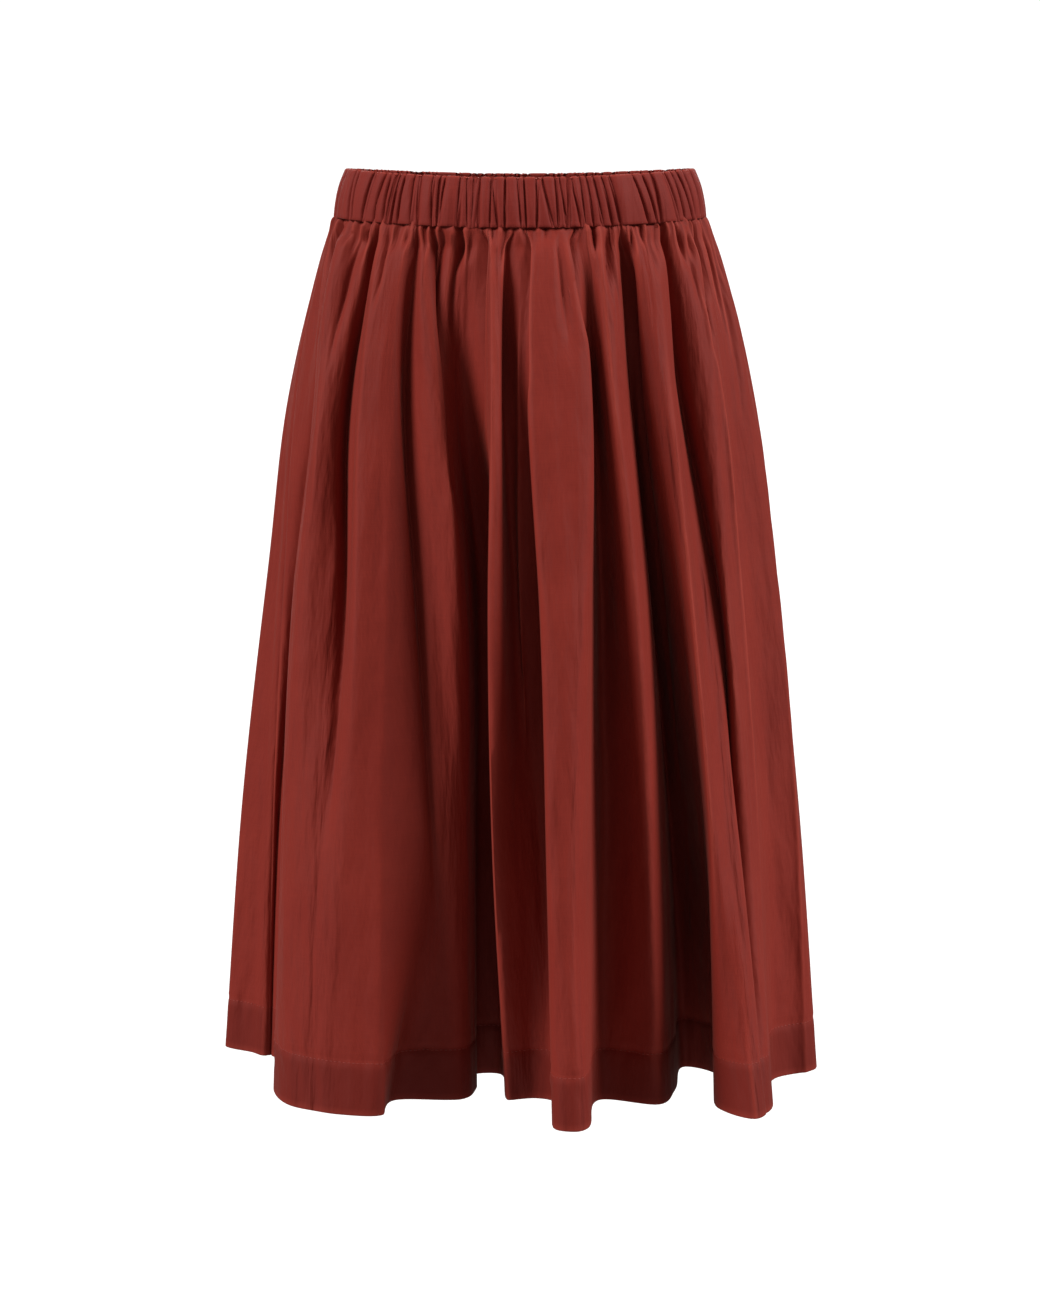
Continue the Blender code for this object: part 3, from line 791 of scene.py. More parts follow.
@dataclass
class SkirtCloth:
    """The cloth of the skirt all round, from which the front and the back panel are cut at the side seams.

    Attributes:
        form: the general form.
        thickness: of one layer of cloth.
        hem_thickness: of the turned-up hem.
        hem_rounding: how far up from its edge the fold at the hem is rounded.
        panel_columns: how many columns of faces each panel has.
        focus: how much closer together the columns are at a crease than away from it.
        focus_reach: how far to each side of a crease they are closer together.
        focus_depth: the depth of a crease that draws them fully together.
        cut_top: how wide a panel is cut at the waist.
        cut_hem: how wide a panel is cut at the hem.
        tuck: how far the seam draws the cloth in behind the waistband's edge.
        tuck_reach: the drop down to which it does.
        lean_in: how much further in its edge inside the waistband lies.
        inner_relief: how much of the creases' relief that edge keeps.
        allowance: how far the cloth runs on up inside the waistband.
        ripple: how high the fine gathers at the seam stand.
        ripple_reach: how far down the fine gathers run out.
        sway_start: the drop from which on the creases lean over fully.
        front: the fold lines of the front.
        back: those of the back.
        left: those between the back and the left side seam.
    """

    # Shares of each stretch between two fold lines: where the columns' density is worked out, and where
    # the creases' lines are sought.
    GRAIN = np.linspace(0, 1, 101)
    EVEN = np.linspace(0, 1, 24, endpoint=False)
    # A crease's line is sought on cloth that is no further beyond the middle than this, seen from its
    # own half, and not between two points that lie further apart than this.
    BEYOND_MIDDLE = -10 * MM
    LEAP = 60 * MM
    # The fine gathers: their seed, how many times each of their waves goes round the skirt, and what they are
    # divided by.
    RIPPLE_SEED = 77
    RIPPLE_TURNS = (38, 53, 71, 97, 124)
    RIPPLE_SUM = 1.6
    # An edge counts as folded, and gets some of the painted highlight, from this share of a full fold on. A
    # full one is bent round this radius.
    SOFT_SHARE = 0.3
    FOLD_RADIUS = 3.2 * MM

    form: GeneralForm = GeneralForm(FORM_ROWS)
    thickness: float = 0.5 * MM
    hem_thickness: float = 1.3 * MM
    hem_rounding: float = 1.2 * MM
    panel_columns: int = 440
    focus: float = 12.0
    focus_reach: float = 5 * MM
    focus_depth: float = 8 * MM
    cut_top: float = 700 * MM
    cut_hem: float = 1250 * MM
    tuck: float = 0.9 * MM
    tuck_reach: float = 2.5 * MM
    lean_in: float = 2.4 * MM
    inner_relief: float = 0.3
    allowance: float = 5 * MM
    ripple: float = 1.2 * MM
    ripple_reach: float = 14 * MM
    sway_start: float = 12 * MM
    front: list[FoldLine] = field(default_factory=lambda: [FoldLine.from_row(row) for row in FRONT_FOLDS])
    back: list[FoldLine] = field(default_factory=back_fold_lines)
    left: list[FoldLine] = field(default_factory=lambda: [FoldLine.from_row(row) for row in LEFT_SIDE_FOLDS])

    def __post_init__(self) -> None:
        """Works out the rows, the columns and every point of the cloth."""
        self.lines = self.front + self.back + self.left
        self.drops = self.row_drops()
        self.creases = front_creases() + back_creases(self.back)
        self.paths = self.crease_paths()
        self.places = self.column_places()
        self.ring_places = np.concatenate([number + places for number, places in enumerate(self.places)])
        rings = [self.ring(row, drop) for row, drop in enumerate(self.drops)]
        self.points = np.array([points for points, _ in rings])
        self.normals = np.array([normals for _, normals in rings])
        self.edges = self.folded_edges()
        self.right_seam = sum(len(places) for places in self.places[: len(self.front) - 1])

    def row_drops(self) -> np.ndarray:
        """Spaces the rows: close together under the seam and at the hem, wider between.

        Returns:
            Their drops.
        """
        hem_start = SKIRT_DROP - self.hem_rounding
        stretches = (
            (-self.allowance, 0.0, 3),
            (0.0, 4 * MM, 3),
            (4 * MM, 60 * MM, 24),
            (60 * MM, 190 * MM, 28),
            (190 * MM, HEM_TOP - 12 * MM, 38),
            (HEM_TOP - 12 * MM, HEM_TOP, 3),
            (HEM_TOP, HEM_TOP + 1 * MM, 1),
            (HEM_TOP + 1 * MM, hem_start, 8),
            (hem_start, SKIRT_DROP, 2),
        )
        rows = [np.linspace(start, end, steps, endpoint=False) for start, end, steps in stretches]
        return np.concatenate(rows + [[SKIRT_DROP]])

    def column_places(self) -> list[np.ndarray]:
        """Shares out each panel's columns among the stretches between its fold lines.

        They lie closer together at the creases.

        Returns:
            For each stretch, how far along it each of its columns is, from 0 up to 1.
        """
        last = len(self.lines)
        closed = self.lines + self.lines[:1]
        lengths = np.zeros(last)
        for drop in (0.0, LEVELS[3], SKIRT_DROP):
            corners = np.array([line.corner(self.form, drop) for line in closed])
            sides = np.linalg.norm(np.diff(corners, axis=0), axis=1)
            lengths += sides / sides.sum()
        densities = [np.full(len(self.GRAIN), length) for length in lengths]
        for crease, path in zip(self.creases, self.paths):
            active = [crease.fullness(drop) * abs(crease.depth) / self.focus_depth for drop in self.drops]
            for place, full in zip(path, active):
                if full <= 0:
                    continue
                for number in range(int(place) - 1, int(place) + 2):
                    length = lengths[number % last]
                    away = (self.GRAIN + number - place) * length / lengths.sum() * 2 * self.cut_hem
                    bump = np.exp(-((away / self.focus_reach) ** 2))
                    densities[number % last] += self.focus * full * bump * length / len(self.drops)
        masses = np.array([density.mean() for density in densities])
        seam = len(self.front) - 1
        places = []
        for first, end in ((0, seam), (seam, last)):
            part = masses[first:end] / masses[first:end].sum() * self.panel_columns
            ends = np.round(np.cumsum(part)).astype(int)
            steps = np.diff(np.concatenate([[0], ends]))
            for density, count in zip(densities[first:end], steps):
                filled = np.concatenate([[0.0], np.cumsum((density[1:] + density[:-1]) / 2)])
                shares = np.linspace(0, 1, count, endpoint=False)
                places.append(np.interp(shares, filled / filled[-1], self.GRAIN))
        return places

    def crease_paths(self) -> list[np.ndarray]:
        """Follows each crease down the cloth.

        A crease's line is where the frontmost cloth (at the back, the rearmost) is as far to the side as its
        station says. It is smoothed, so that it doesn't jump from one fold to the next.

        Returns:
            For each crease, its place at each row: the number of the stretch between two fold lines, and
            how far along that stretch.
        """
        shares = [self.EVEN] * len(self.lines)
        numbers = np.concatenate([number + self.EVEN for number in range(len(self.lines))])
        found = np.zeros((len(self.creases), len(self.drops)))
        for row, drop in enumerate(self.drops):
            level = max(drop, 0.0)
            curve = self.base_curve(level, shares)
            half_width = self.form.half_sizes(level)[0]
            stations = self.form.stations(curve, level)
            for number, crease in enumerate(self.creases):
                station = crease.station(level)
                found[number, row] = self.crossing(curve, stations, half_width, station, numbers)
        paths = []
        for line in found:
            smooth = line
            for reach, average in ((3, np.median), (2, np.mean)):
                padded = np.pad(smooth, reach, mode="edge")
                windows = np.lib.stride_tricks.sliding_window_view(padded, 2 * reach + 1)
                smooth = average(windows, axis=1)
            paths.append(smooth)
        return paths

    def crossing(
        self, curve: np.ndarray, stations: np.ndarray, half_width: float, station: float, numbers: np.ndarray
    ) -> float:
        """Finds where a row of the cloth passes a station's distance to the side, on its outermost fold.

        Args:
            curve: the row's points in plan.
            stations: the stations of its points.
            half_width: of the general form at the row.
            station: the station that is sought.
            numbers: the points' places among the stretches between two fold lines.

        Returns:
            The place of the crossing, or of the point nearest in station where the row doesn't pass.
        """
        across = half_width * math.sin(math.radians(station))
        outward = -curve[:, 1] * math.cos(math.radians(station))
        beyond = curve[:, 0] - across
        after = np.roll(beyond, -1)
        near = (outward > self.BEYOND_MIDDLE) & (np.abs(beyond - after) < self.LEAP)
        crossed = np.flatnonzero((beyond * after <= 0) & near)
        crossed = crossed[crossed < len(curve) - 1]
        if len(crossed) == 0:
            away = np.abs((stations - station + 180) % 360 - 180)
            return float(numbers[int(np.argmin(away))])
        best = crossed[int(np.argmax(outward[crossed]))]
        part = beyond[best] / (beyond[best] - beyond[best + 1]) if beyond[best] != beyond[best + 1] else 0.0
        return float(numbers[best] + part * (numbers[best + 1] - numbers[best]))

    def base_curve(self, drop: float, all_shares: list[np.ndarray]) -> np.ndarray:
        """Gives the closed curve through the fold lines at a drop: a centripetal Catmull-Rom curve.

        Args:
            drop: the level's drop.
            all_shares: for each stretch between two fold lines, how far along it each point is.

        Returns:
            The curve's points in plan, from the left side seam over the front.
        """
        corners = np.array([line.corner(self.form, drop) for line in self.lines])
        pieces = []
        for line, shares in enumerate(all_shares):
            four = corners[[(line + shift) % len(corners) for shift in (-1, 0, 1, 2)]]
            knots = np.concatenate([[0.0], np.cumsum(np.sqrt(np.linalg.norm(np.diff(four, axis=0), axis=1)))])
            places = (knots[1] + (knots[2] - knots[1]) * shares)[:, None]
            level = list(four)
            for span in (1, 2, 3):
                pairs = []
                for start in range(len(level) - 1):
                    low, high = (knots[start], knots[start + span]) if span < 3 else (knots[1], knots[2])
                    blend = (high - places) * level[start] + (places - low) * level[start + 1]
                    pairs.append(blend / (high - low))
                level = pairs
            pieces.append(level[0])
        return np.vstack(pieces)

    def ring(self, row: int, drop: float) -> tuple[np.ndarray, np.ndarray]:
        """Gives one closed row of the cloth's points and its outward normals.

        Args:
            row: the row's number.
            drop: the row's drop. A negative one is inside the waistband.

        Returns:
            The points in x, y, z, and the unit normals in x, y, z.
        """
        level = max(drop, 0.0)
        curve = self.base_curve(level, self.places)
        normals, along = self.directions(curve)
        steps = np.linalg.norm(np.diff(curve, axis=0, append=curve[:1]), axis=1)
        run = np.concatenate([[0.0], np.cumsum(steps)])
        places = np.append(self.ring_places, len(self.lines))
        out = np.zeros(len(curve))
        right = np.zeros(len(curve))
        for crease, path in zip(self.creases, self.paths):
            place = path[row] % len(self.lines)
            centre = float(np.interp(place, places, run))
            nearest = int(np.clip(np.searchsorted(places, place), 2, len(steps) - 2))
            away = (run[:-1] - centre + run[-1] / 2) % run[-1] - run[-1] / 2
            outwards, sideways = crease.offsets(away, float(steps[nearest - 2 : nearest + 2].mean()), level)
            out += outwards
            right += sideways
        out += self.fine_gathers(self.form.stations(curve, level)) * math.exp(-level / self.ripple_reach)
        right *= ease(drop / self.sway_start)
        if drop < 0:
            out = self.inner_relief * out - self.lean_in * ease(-drop / self.allowance)
        out -= self.tuck * (1 - ease(drop / self.tuck_reach))
        moved = curve + normals * out[:, None] + along * right[:, None]
        heights = SEAM_DROP - drop - seam_dip(moved[:, 0], self.form.half_sizes(level)[0])
        return np.column_stack([moved, heights]), np.column_stack([normals, np.zeros(len(curve))])

    def folded_edges(self) -> np.ndarray:
        """Finds the edges that stick out, where a highlight is painted paler.

        Returns:
            How sharply each point is folded outwards, from 0 to 1.
        """
        plan = self.points[:, :, :2]
        before = plan - np.roll(plan, 2, axis=1)
        after = np.roll(plan, -2, axis=1) - plan
        turn = before[:, :, 0] * after[:, :, 1] - before[:, :, 1] * after[:, :, 0]
        lengths = np.linalg.norm(before, axis=2), np.linalg.norm(after, axis=2)
        bend = np.arcsin(np.clip(turn / (lengths[0] * lengths[1]), -1, 1)) / ((lengths[0] + lengths[1]) / 2)
        sharp = np.clip(bend * self.FOLD_RADIUS - self.SOFT_SHARE, 0, 1)
        return (np.roll(sharp, 1, axis=0) + sharp + np.roll(sharp, -1, axis=0)) / 3

    def fine_gathers(self, stations: np.ndarray) -> np.ndarray:
        """Works out the fine gathers between the creases at the seam, uneven all round.

        Args:
            stations: the stations of a row's points.

        Returns:
            How far each point stands out.
        """
        dice = random.Random(self.RIPPLE_SEED)
        relief = np.zeros(len(stations))
        for turns in self.RIPPLE_TURNS:
            relief += np.sin(np.radians(stations) * turns + dice.uniform(0, 2 * math.pi))
        return self.ripple * relief / self.RIPPLE_SUM

    @staticmethod
    def directions(curve: np.ndarray) -> tuple[np.ndarray, np.ndarray]:
        """Finds a closed curve's directions in plan, averaged over seven points.

        Args:
            curve: its points.

        Returns:
            The outward normals and the directions along it.
        """
        along = np.roll(curve, -1, axis=0) - np.roll(curve, 1, axis=0)
        along /= np.linalg.norm(along, axis=1)[:, None]
        along = sum(np.roll(along, shift, axis=0) for shift in range(-3, 4))
        along /= np.linalg.norm(along, axis=1)[:, None]
        return np.column_stack([along[:, 1], -along[:, 0]]), along


@dataclass
class HemStitching:
    """The line of machine stitches that holds a panel's turned-up hem.

    Attributes:
        name: the piece's name.
        finish: the thread's material.
        pitch: the distance from stitch to stitch.
        length: how much of it the thread lies on top.
        thickness: of the thread.
        lift: how far its middle lies outside the cloth's face.
    """

    name: str
    finish: bpy.types.Material
    pitch: float = 3.4 * MM
    length: float = 2.7 * MM
    thickness: float = 0.5 * MM
    lift: float = 0.1 * MM

    def build(self, line: np.ndarray, normals: np.ndarray) -> bpy.types.Object:
        """Lays the stitches along a line on the cloth's face.

        Args:
            line: the line's points.
            normals: the cloth's outward normals there.

        Returns:
            All the stitches as one piece, riding on the part's only body.
        """
        steps = np.linalg.norm(np.diff(line, axis=0), axis=1)
        run = np.concatenate([[0.0], np.cumsum(steps)])
        places = np.arange(self.pitch, run[-1] - self.pitch, self.pitch)
        ahead = self.at(line, run, places + self.length / 2) - self.at(line, run, places - self.length / 2)
        select_only(None)
        bpy.ops.mesh.primitive_uv_sphere_add(segments=6, ring_count=4, radius=0.5)
        first = bpy.context.active_object
        first.name = first.data.name = self.name
        pieces = [first]
        for _ in places[1:]:
            other = bpy.data.objects.new(self.name, first.data)
            bpy.context.collection.objects.link(other)
            pieces.append(other)
        middles, facing = self.at(line, run, places), self.at(normals, run, places)
        for piece, middle, outward, along in zip(pieces, middles, facing, ahead):
            piece.matrix_world = self.placing(middle, outward, along)
            piece.select_set(True)
        bpy.context.view_layer.objects.active = first
        bpy.ops.object.join()
        bpy.ops.object.transform_apply(location=True, rotation=True, scale=True)
        bpy.ops.object.shade_smooth()
        first.data.materials.clear()
        first.data.materials.append(self.finish)
        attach(first, "root")
        return first

    def placing(self, middle: np.ndarray, outward: np.ndarray, along: np.ndarray) -> Matrix:
        """Places and stretches one stitch.

        Args:
            middle: the point on the cloth under its middle.
            outward: the cloth's outward normal there.
            along: the direction of the stitch line there.

        Returns:
            The stitch's matrix.
        """
        along = along / np.linalg.norm(along)
        outward = outward - along * np.dot(outward, along)
        outward = outward / np.linalg.norm(outward)
        upward = np.cross(along, outward)
        place = np.eye(4)
        sizes = (self.length, self.thickness, self.thickness)
        place[:3, :3] = np.column_stack([along, outward, upward]) * sizes
        place[:3, 3] = middle + outward * self.lift
        return Matrix(place.tolist())

    @staticmethod
    def at(values: np.ndarray, run: np.ndarray, places: np.ndarray) -> np.ndarray:
        """Reads a row of points or directions at places along its run."""
        return np.column_stack([np.interp(places, run, values[:, axis]) for axis in range(3)])


@dataclass
class SkirtPanel:
    """One panel of the skirt, gathered into its half of the waistband and hemmed.

    Attributes:
        cloth: the cloth that it is cut from.
        half: front or back.
        finish: its material.
        thread: the material of its stitches.
        seam_hollow: how far in its side seams draw it.
        seam_reach: how far from a side seam that hollow fades.
        pucker: how high a pucker's waves stand.
        pucker_slant: how far the puckers lean over, as a slope.
        pucker_waves: the lengths of their waves along the hem.
        pucker_reach: how far up and down from the stitch line they fade.
        pucker_free: how far from a side seam the seam holds them flat.
        bunches: the distance between the places where they bunch.
        bunching: how much of their height bunches there.
        stitch_sink: how deep the stitch line sinks in, and how far to each side.
        hem_draw: how far in the hem's last edge is drawn.
        hem_share: its share of the hem's thickness.
        hem_shade: how far below the stitch line the doubled cloth is fully darker.
        hem_highlight: how strong a highlight is painted along the hem's fold, and how far up.
        edge_highlight: how strong a highlight is painted along the sharpest folds.
    """

    cloth: SkirtCloth
    half: Half
    finish: bpy.types.Material
    thread: bpy.types.Material
    seam_hollow: float = 3 * MM
    seam_reach: float = 3.5 * MM
    pucker: float = 0.42 * MM
    pucker_slant: float = 0.35
    pucker_waves: tuple[float, ...] = (10 * MM, 13 * MM, 17 * MM, 23 * MM, 31 * MM)
    pucker_reach: tuple[float, float] = (9 * MM, 16 * MM)
    pucker_free: float = 8 * MM
    bunches: float = 160 * MM
    bunching: float = 0.4
    stitch_sink: tuple[float, float] = (0.6 * MM, 0.9 * MM)
    hem_draw: float = 0.3 * MM
    hem_share: float = 0.55
    hem_shade: float = 1.5 * MM
    hem_highlight: tuple[float, float] = (0.30, 1.5 * MM)
    edge_highlight: float = 0.85

    def columns(self) -> np.ndarray:
        """Picks the panel's columns, from its first side seam to its second.

        Returns:
            Their numbers in the cloth.
        """
        total, seam = self.cloth.points.shape[1], self.cloth.right_seam
        first, last = (0, seam) if self.half is Half.FRONT else (seam, total)
        return np.arange(first, last + 1) % total

    def build(self) -> bpy.types.Object:
        """Cuts, shapes and finishes the panel.

        Returns:
            The panel, riding on the part's only body.
        """
        node = f"{self.half.name.lower()}_panel"
        picked = self.columns()
        points = self.cloth.points[:, picked].copy()
        normals = self.cloth.normals[:, picked]
        drops = self.cloth.drops
        from_seam, shares = self.places_across(points)
        width = self.cloth.cut_top + (self.cloth.cut_hem - self.cloth.cut_top) * drops / SKIRT_DROP
        flat = np.stack([width[:, None] * (shares - 0.5), per_row(-drops, len(picked))], axis=2)
        self.relieve(points, normals, flat, from_seam)
        panel = sheet_from_grid(f"{node}_cloth", points[::-1], flat[::-1])
        # A paler colour is painted along the hem's fold and the sharpest folds, as a highlight.
        painted_highlight = np.where(drops > SKIRT_DROP - self.hem_highlight[1], self.hem_highlight[0], 0.0)[:, None]
        mark_points(panel, "painted_highlight", (painted_highlight + self.edge_highlight * self.cloth.edges[:, picked])[::-1])
        mark_points(panel, "doubled", per_row(ease((drops - HEM_TOP) / self.hem_shade)[::-1], len(picked)))
        mark_points(panel, "across", np.tile(width.mean() * (shares.mean(axis=0) - 0.5), (len(drops), 1)))
        layers = np.where(drops > HEM_TOP, 1.0, self.cloth.thickness / self.cloth.hem_thickness)
        layers[-1] = self.hem_share
        thicken(panel, self.cloth.hem_thickness, per_row(layers[::-1], len(picked)))
        panel.data.materials.append(self.finish)
        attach(panel, "root")
        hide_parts(node)
        stitched = int(np.argmin(np.abs(drops - HEM_TOP)))
        stitching = HemStitching(f"{self.half.name.lower()}_hem_stitches", self.thread)
        stitches = stitching.build(points[stitched], normals[stitched])
        return panel

    def relieve(
        self, points: np.ndarray, normals: np.ndarray, flat: np.ndarray, from_seam: np.ndarray
    ) -> None:
        """Adds the puckers, the hollows at the side seams, the seams' gap and the hem's drawn-in edge.

        Args:
            points: the panel's points, which are moved.
            normals: the cloth's outward normals.
            flat: the points' places on the flat cut.
            from_seam: their distances from the nearer side seam.
        """
        away_from_seam = 1 - np.exp(-from_seam / self.pucker_free)
        points += normals * (self.puckers(flat) * away_from_seam)[:, :, None]
        points -= normals * (self.seam_hollow * np.exp(-from_seam / self.seam_reach))[:, :, None]
        for edge, beside in ((0, 1), (-1, -2)):
            inwards = points[:, beside] - points[:, edge]
            inwards /= np.linalg.norm(inwards, axis=1)[:, None]
            points[:, edge] += inwards * SEAM_GAP / 2
        points[-1] -= normals[-1] * self.hem_draw

    @staticmethod
    def places_across(points: np.ndarray) -> tuple[np.ndarray, np.ndarray]:
        """Measures each row of the panel from side seam to side seam.

        Args:
            points: the panel's points, row by row.

        Returns:
            Each point's distance from the nearer side seam, and how far across its row it is, from 0 to 1.
        """
        steps = np.linalg.norm(np.diff(points[:, :, :2], axis=1), axis=2)
        run = np.concatenate([np.zeros((len(points), 1)), np.cumsum(steps, axis=1)], axis=1)
        return np.minimum(run, run[:, -1:] - run), run / run[:, -1:]

    def puckers(self, flat: np.ndarray) -> np.ndarray:
        """Works out the relief of the puckers along the hem's stitch line.

        Args:
            flat: the points' places on the flat cut.

        Returns:
            How far each point stands out.
        """
        dice = random.Random(int(self.half.value))
        across = flat[:, :, 0] + self.pucker_slant * flat[:, :, 1]
        relief = np.zeros(across.shape)
        for wave in self.pucker_waves:
            relief += np.sin(2 * math.pi * across / wave + dice.uniform(0, 2 * math.pi))
        bunch = np.sin(2 * math.pi * flat[:, :, 0] / self.bunches + dice.uniform(0, 2 * math.pi))
        beyond = self.cloth.drops - HEM_TOP
        above, below = self.pucker_reach
        near = np.exp(-((beyond / np.where(beyond > 0, below, above)) ** 2))
        sink, reach = self.stitch_sink
        stitched = np.exp(-((beyond / reach) ** 2))
        swell = 1 - self.bunching + self.bunching * bunch
        return self.pucker * relief * swell * near[:, None] - sink * stitched[:, None]


@dataclass
class Waistband:
    """One half of the waistband: a strip of cloth folded over wide elastic and ruched by it.

    Attributes:
        half: front or back.
        finish: its material.
        form: the band's oval at each height above the seam.
        columns: how many columns of faces it has.
        thickness: of one layer of cloth.
        edge: the radius of its top edge.
        bulge: how far the elastic fills out the face between its edges.
        crease_widths: the range of the creases' widths in millimetres.
        rounding: how much a crease's line is rounded.
        relief: what the creases' depths are multiplied by, and what their relief is inside.
        inner_stray: how far the creases inside stray from those outside, in degrees.
        ruffle: how far the creases draw the top edge down, as a share of their depth.
        top_highlight: how strong a highlight is painted along the top edge, and how far down.
        cut_width: how wide the strip is cut, before the elastic draws it in.
        cut_height: how high the strip is cut, both faces and seam allowances together. It is not used.
    """

    # Rows of the strip's edge under the band: height above the seam, depth behind the outer face, and
    # share of the ruching's depth.
    UNDER = (
        (2.2 * MM, 1.7 * MM, 0.2),
        (0.9 * MM, 1.5 * MM, 0.3),
        (0.25 * MM, 1.0 * MM, 0.45),
        (0.1 * MM, 0.45 * MM, 0.5),
    )
    # The outer face starts this high, and the inner one ends this high and lies this deep.
    FACE_START = 0.7 * MM
    INNER_END = -0.4 * MM
    INNER_DEPTH = BAND_WALL - 0.2 * MM
    # The share of the ruching's depth at the face's edges, what the face has more from this share of
    # its height on, and the shares over the top edge and inside.
    EDGE_RUCHING = 0.55
    FACE_RUCHING = 0.45
    FULL_FROM = 0.16
    TOP_RUCHING = 0.45
    INNER_RUCHING = 0.4

    half: Half
    finish: bpy.types.Material
    form: GeneralForm = GeneralForm(BAND_ROWS)
    columns: int = 900
    thickness: float = 0.5 * MM
    edge: float = 1.4 * MM
    bulge: float = 0.7 * MM
    crease_widths: tuple[float, float] = (0.55, 1.25)
    rounding: float = 0.3 * MM
    relief: tuple[float, float] = (2.5, -0.7)
    inner_stray: float = 2.0
    ruffle: float = 0.25
    top_highlight: tuple[float, float] = (0.4, 1.3 * MM)
    cut_width: float = 460 * MM
    cut_height: float = 84 * MM

    def profile(self) -> np.ndarray:
        """Follows the strip from the waist seam over the top edge and down inside.

        Returns:
            Rows of height above the seam, depth behind the outer face, and share of the ruching's depth.
        """
        rows = list(self.UNDER)
        for share in np.linspace(0, 1, 19):
            height = self.FACE_START + share * (BAND_HEIGHT - self.edge - self.FACE_START)
            full = float(ease(min(share, 1 - share) / self.FULL_FROM))
            ruching = self.EDGE_RUCHING + self.FACE_RUCHING * full
            rows.append((height, -self.bulge * math.sin(math.pi * share), ruching))
        for angle in np.radians((30, 60, 90, 120, 150)):
            height = BAND_HEIGHT - self.edge + self.edge * math.sin(angle)
            rows.append((height, self.edge * (1 - math.cos(angle)), self.TOP_RUCHING))
        for share in np.linspace(1, 0, 12):
            height = self.INNER_END + share * (BAND_HEIGHT - self.edge)
            rows.append((height, self.INNER_DEPTH, self.INNER_RUCHING))
        return np.array(rows)

    def creases(self) -> list[tuple[float, float, float]]:
        """Lists the ruching's creases: the front's from their table, the back's by their rule.

        Returns:
            For each, its stations at the top and the bottom edge, and its depth.
        """
        if self.half is Half.FRONT:
            return [(top, bottom, depth * MM) for top, bottom, depth in BAND_CREASES]
        dice = random.Random(BAND_BACK_SEED)
        made = []
        station, last = BAND_BACK_FROM_TO
        while station < last:
            lean = dice.uniform(-BAND_BACK_LEAN, BAND_BACK_LEAN)
            made.append((station - lean, station + lean, dice.uniform(*BAND_BACK_DEPTHS) * MM))
            station += dice.choice(BAND_BACK_PITCHES) * dice.uniform(*BAND_BACK_VARIES)
        return made

    def surface(self, profile: np.ndarray) -> tuple[np.ndarray, np.ndarray]:
        """Lays the strip round the band's form, and draws its creases in.

        Args:
            profile: the strip's rows.

        Returns:
            The points row by row, and their places on the flat cut.
        """
        dice = random.Random(int(self.half.value) + 500)
        outer = [(*crease, dice.uniform(*self.crease_widths) * MM) for crease in self.creases()]
        stray = self.inner_stray
        inner = [
            (top + dice.uniform(-stray, stray), bottom + dice.uniform(-stray, stray), depth, width)
            for top, bottom, depth, width in outer
        ]
        first = self.half.value
        top_row = int(np.argmax(profile[:, 0]))
        run = np.concatenate([[0.0], np.cumsum(np.linalg.norm(np.diff(profile[:, :2], axis=0), axis=1))])
        across = np.linspace(-0.5, 0.5, self.columns + 1) * self.cut_width
        rows, flat = [], []
        for number, (height, behind, ruching) in enumerate(profile):
            level = float(np.clip(height, 0, BAND_HEIGHT))
            half_width, half_depth = self.form.half_sizes(level)
            parting = math.degrees(SEAM_GAP / 2 / half_depth)
            stations = np.linspace(first + parting, first + 180 - parting, self.columns + 1)
            angles = np.radians(stations)
            base = np.column_stack([half_width * np.sin(angles), -half_depth * np.cos(angles)])
            normals = np.column_stack([np.sin(angles) / half_width, -np.cos(angles) / half_depth])
            normals /= np.linalg.norm(normals, axis=1)[:, None]
            reach = self.form.metres_per_degree(stations, level)
            sunk = np.zeros(len(stations))
            for top, bottom, depth, width in outer if number <= top_row else inner:
                away = np.abs(stations - (bottom + (top - bottom) * (height / BAND_HEIGHT))) * reach
                rounded = np.sqrt(away**2 + self.rounding**2) - self.rounding
                sunk += self.relief[0] * depth * np.exp(-rounded / width)
            inwards = 1.0 if number <= top_row else self.relief[1]
            plan = base - normals * (behind + inwards * sunk * ruching)[:, None]
            ruffle = self.ruffle if abs(number - top_row) < 3 else 0.0
            heights = SEAM_DROP + height - seam_dip(plan[:, 0], half_width) - ruffle * sunk
            rows.append(np.column_stack([plan, heights]))
            flat.append(np.column_stack([across, np.full(len(stations), run[number])]))
        return np.array(rows), np.array(flat)

    def build(self) -> bpy.types.Object:
        """Shapes and finishes this half of the waistband.

        Returns:
            The piece, riding on the part's only body.
        """
        node = f"waistband_{self.half.name.lower()}"
        profile = self.profile()
        points, flat = self.surface(profile)
        band = sheet_from_grid(f"{node}_casing", points, flat)
        # A paler colour is painted along the top edge, as a highlight.
        painted_highlight, reach = self.top_highlight
        band_highlight = np.exp(-(((profile[:, 0] - BAND_HEIGHT) / reach) ** 2)) * painted_highlight
        mark_points(band, "painted_highlight", per_row(band_highlight, self.columns + 1))
        mark_points(band, "doubled", np.zeros(flat.shape[:2]))
        mark_points(band, "across", flat[:, :, 0])
        thicken(band, self.thickness, np.ones(flat.shape[:2]))
        band.data.materials.append(self.finish)
        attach(band, "root")
        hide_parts(node)
        return band


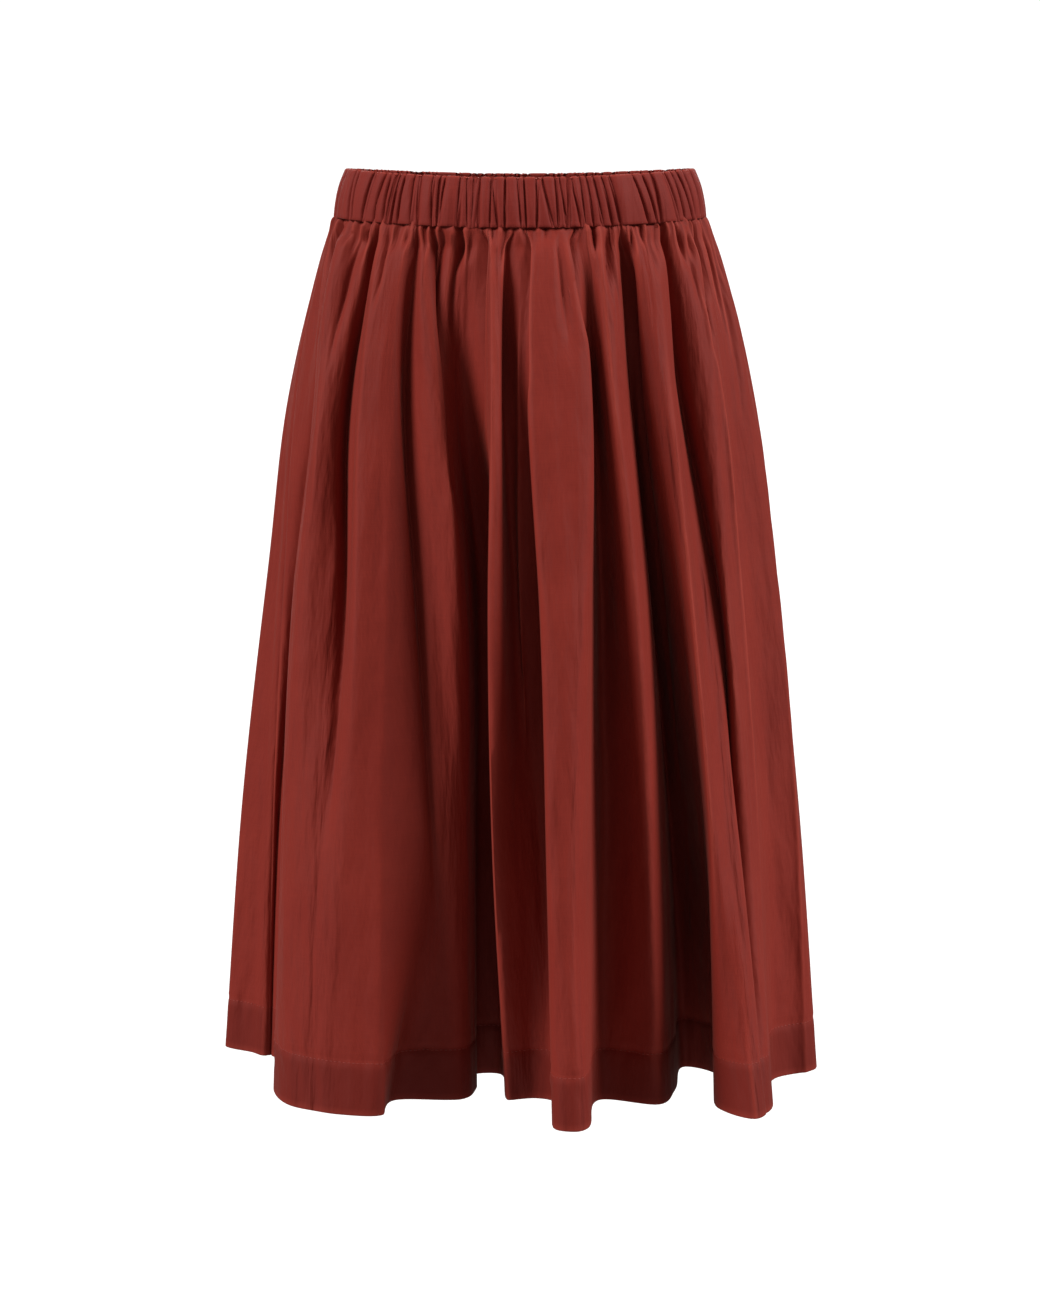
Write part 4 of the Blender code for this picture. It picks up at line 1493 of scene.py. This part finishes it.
@dataclass
class Studio:
    """The plain pale floor, the soft lights and the camera.

    Attributes:
        floor_height: the floor under the wearer's feet.
        floor_size: how wide it is.
        surround_light: how strong the pale surround is as a light.
        surround_seen: how bright it is where it is seen.
        camera_place: about 2.7 m in front of the skirt, a little above the waist.
        camera_tilt: how far the camera looks down, in degrees.
        lens: the focal length in millimetres on a 36 mm high picture.
    """

    # Lights: name, degrees to the right of the front, degrees up, strength, and how wide it is seen.
    SUNS = (
        ("soft_light_left", -66, 33, 3.1, 26),
        ("soft_light_right", 76, 33, 3.3, 26),
        ("soft_light_back", 180, 25, 1.4, 60),
        ("floor_bounce", 0, -66, 0.65, 50),
    )

    floor_height: float = -1.05
    floor_size: float = 120.0
    surround_light: float = 0.15
    surround_seen: float = 1.1
    camera_place: tuple[float, float, float] = (0.0, -2.7, 0.05)
    camera_tilt: float = 8.28
    lens: float = 100.0

    def build(self) -> None:
        """Adds the floor, the world, the lights and the camera."""
        self.add_floor()
        self.add_world()
        for sun in self.SUNS:
            self.add_sun(*sun)
        self.add_camera()
        bpy.context.scene.view_settings.view_transform = "Standard"

    def add_floor(self) -> None:
        """Adds a wide pale floor, which is seen but casts and throws back no light."""
        select_only(None)
        bpy.ops.mesh.primitive_plane_add(size=self.floor_size, location=(0, 0, self.floor_height))
        floor = bpy.context.active_object
        floor.name = "pale_floor"
        matt = bpy.data.materials.new("matt_white_paint")
        matt.use_nodes = True
        shader = matt.node_tree.nodes["Principled BSDF"]
        shader.inputs["Base Color"].default_value = linear("#EDEDEC")
        shader.inputs["Roughness"].default_value = 0.9
        floor.data.materials.append(matt)
        floor.visible_diffuse = False
        floor.visible_glossy = False
        floor.visible_shadow = False

    def add_world(self) -> None:
        """Adds the pale surround: white where it is seen, and weaker as a light."""
        world = bpy.data.worlds.new("pale_surround")
        bpy.context.scene.world = world
        world.use_nodes = True
        tree = world.node_tree
        white = linear("#FFFFFF")
        light = tree.nodes["Background"]
        light.inputs["Color"].default_value = white
        light.inputs["Strength"].default_value = self.surround_light
        seen = {"Color": white, "Strength": self.surround_seen}
        seen = add_node(tree, "ShaderNodeBackground", {}, seen).outputs[0]
        path = add_node(tree, "ShaderNodeLightPath", {}, {}).outputs["Is Camera Ray"]
        mix = add_node(tree, "ShaderNodeMixShader", {}, {0: path, 1: light.outputs[0], 2: seen})
        tree.links.new(mix.outputs[0], tree.nodes["World Output"].inputs["Surface"])

    def add_sun(self, name: str, azimuth: float, elevation: float, strength: float, spread: float) -> None:
        """Adds one soft light.

        Args:
            name: the light's name.
            azimuth: where it stands, in degrees to the right of the front.
            elevation: how high it stands, in degrees.
            strength: its strength.
            spread: how wide it is seen from the skirt, in degrees.
        """
        data = bpy.data.lights.new(name, "SUN")
        data.energy = strength
        data.angle = math.radians(spread)
        lamp = bpy.data.objects.new(name, data)
        bpy.context.scene.collection.objects.link(lamp)
        lamp.rotation_euler = (math.radians(90 - elevation), 0.0, math.radians(azimuth))

    def add_camera(self) -> None:
        """Adds the camera and makes it the scene's."""
        data = bpy.data.cameras.new("camera")
        data.lens = self.lens
        data.sensor_width = 36.0
        camera = bpy.data.objects.new("camera", data)
        bpy.context.scene.collection.objects.link(camera)
        camera.location = self.camera_place
        camera.rotation_euler = (math.radians(90 - self.camera_tilt), 0.0, 0.0)
        bpy.context.scene.camera = camera


def main() -> None:
    """Builds the skirt and its studio in order."""
    logging.basicConfig(level=logging.INFO, format="%(message)s")
    log = logging.getLogger("skirt")
    cotton = CottonFinish().material()
    band_cotton = CottonFinish(name="ruched_brick_red_cotton", cloth="#771F17", faded="#83271D").material()
    thread = thread_finish()
    cloth = SkirtCloth()
    for half in Half:
        panel = SkirtPanel(cloth, half, cotton, thread).build()
        log.info("%s: %d faces", panel.name, len(panel.data.polygons))
        band = Waistband(half, band_cotton).build()
        log.info("%s: %d faces", band.name, len(band.data.polygons))
    Studio().build()
    log.info("studio: floor, lights and camera")


if __name__ == "__main__":
    main()
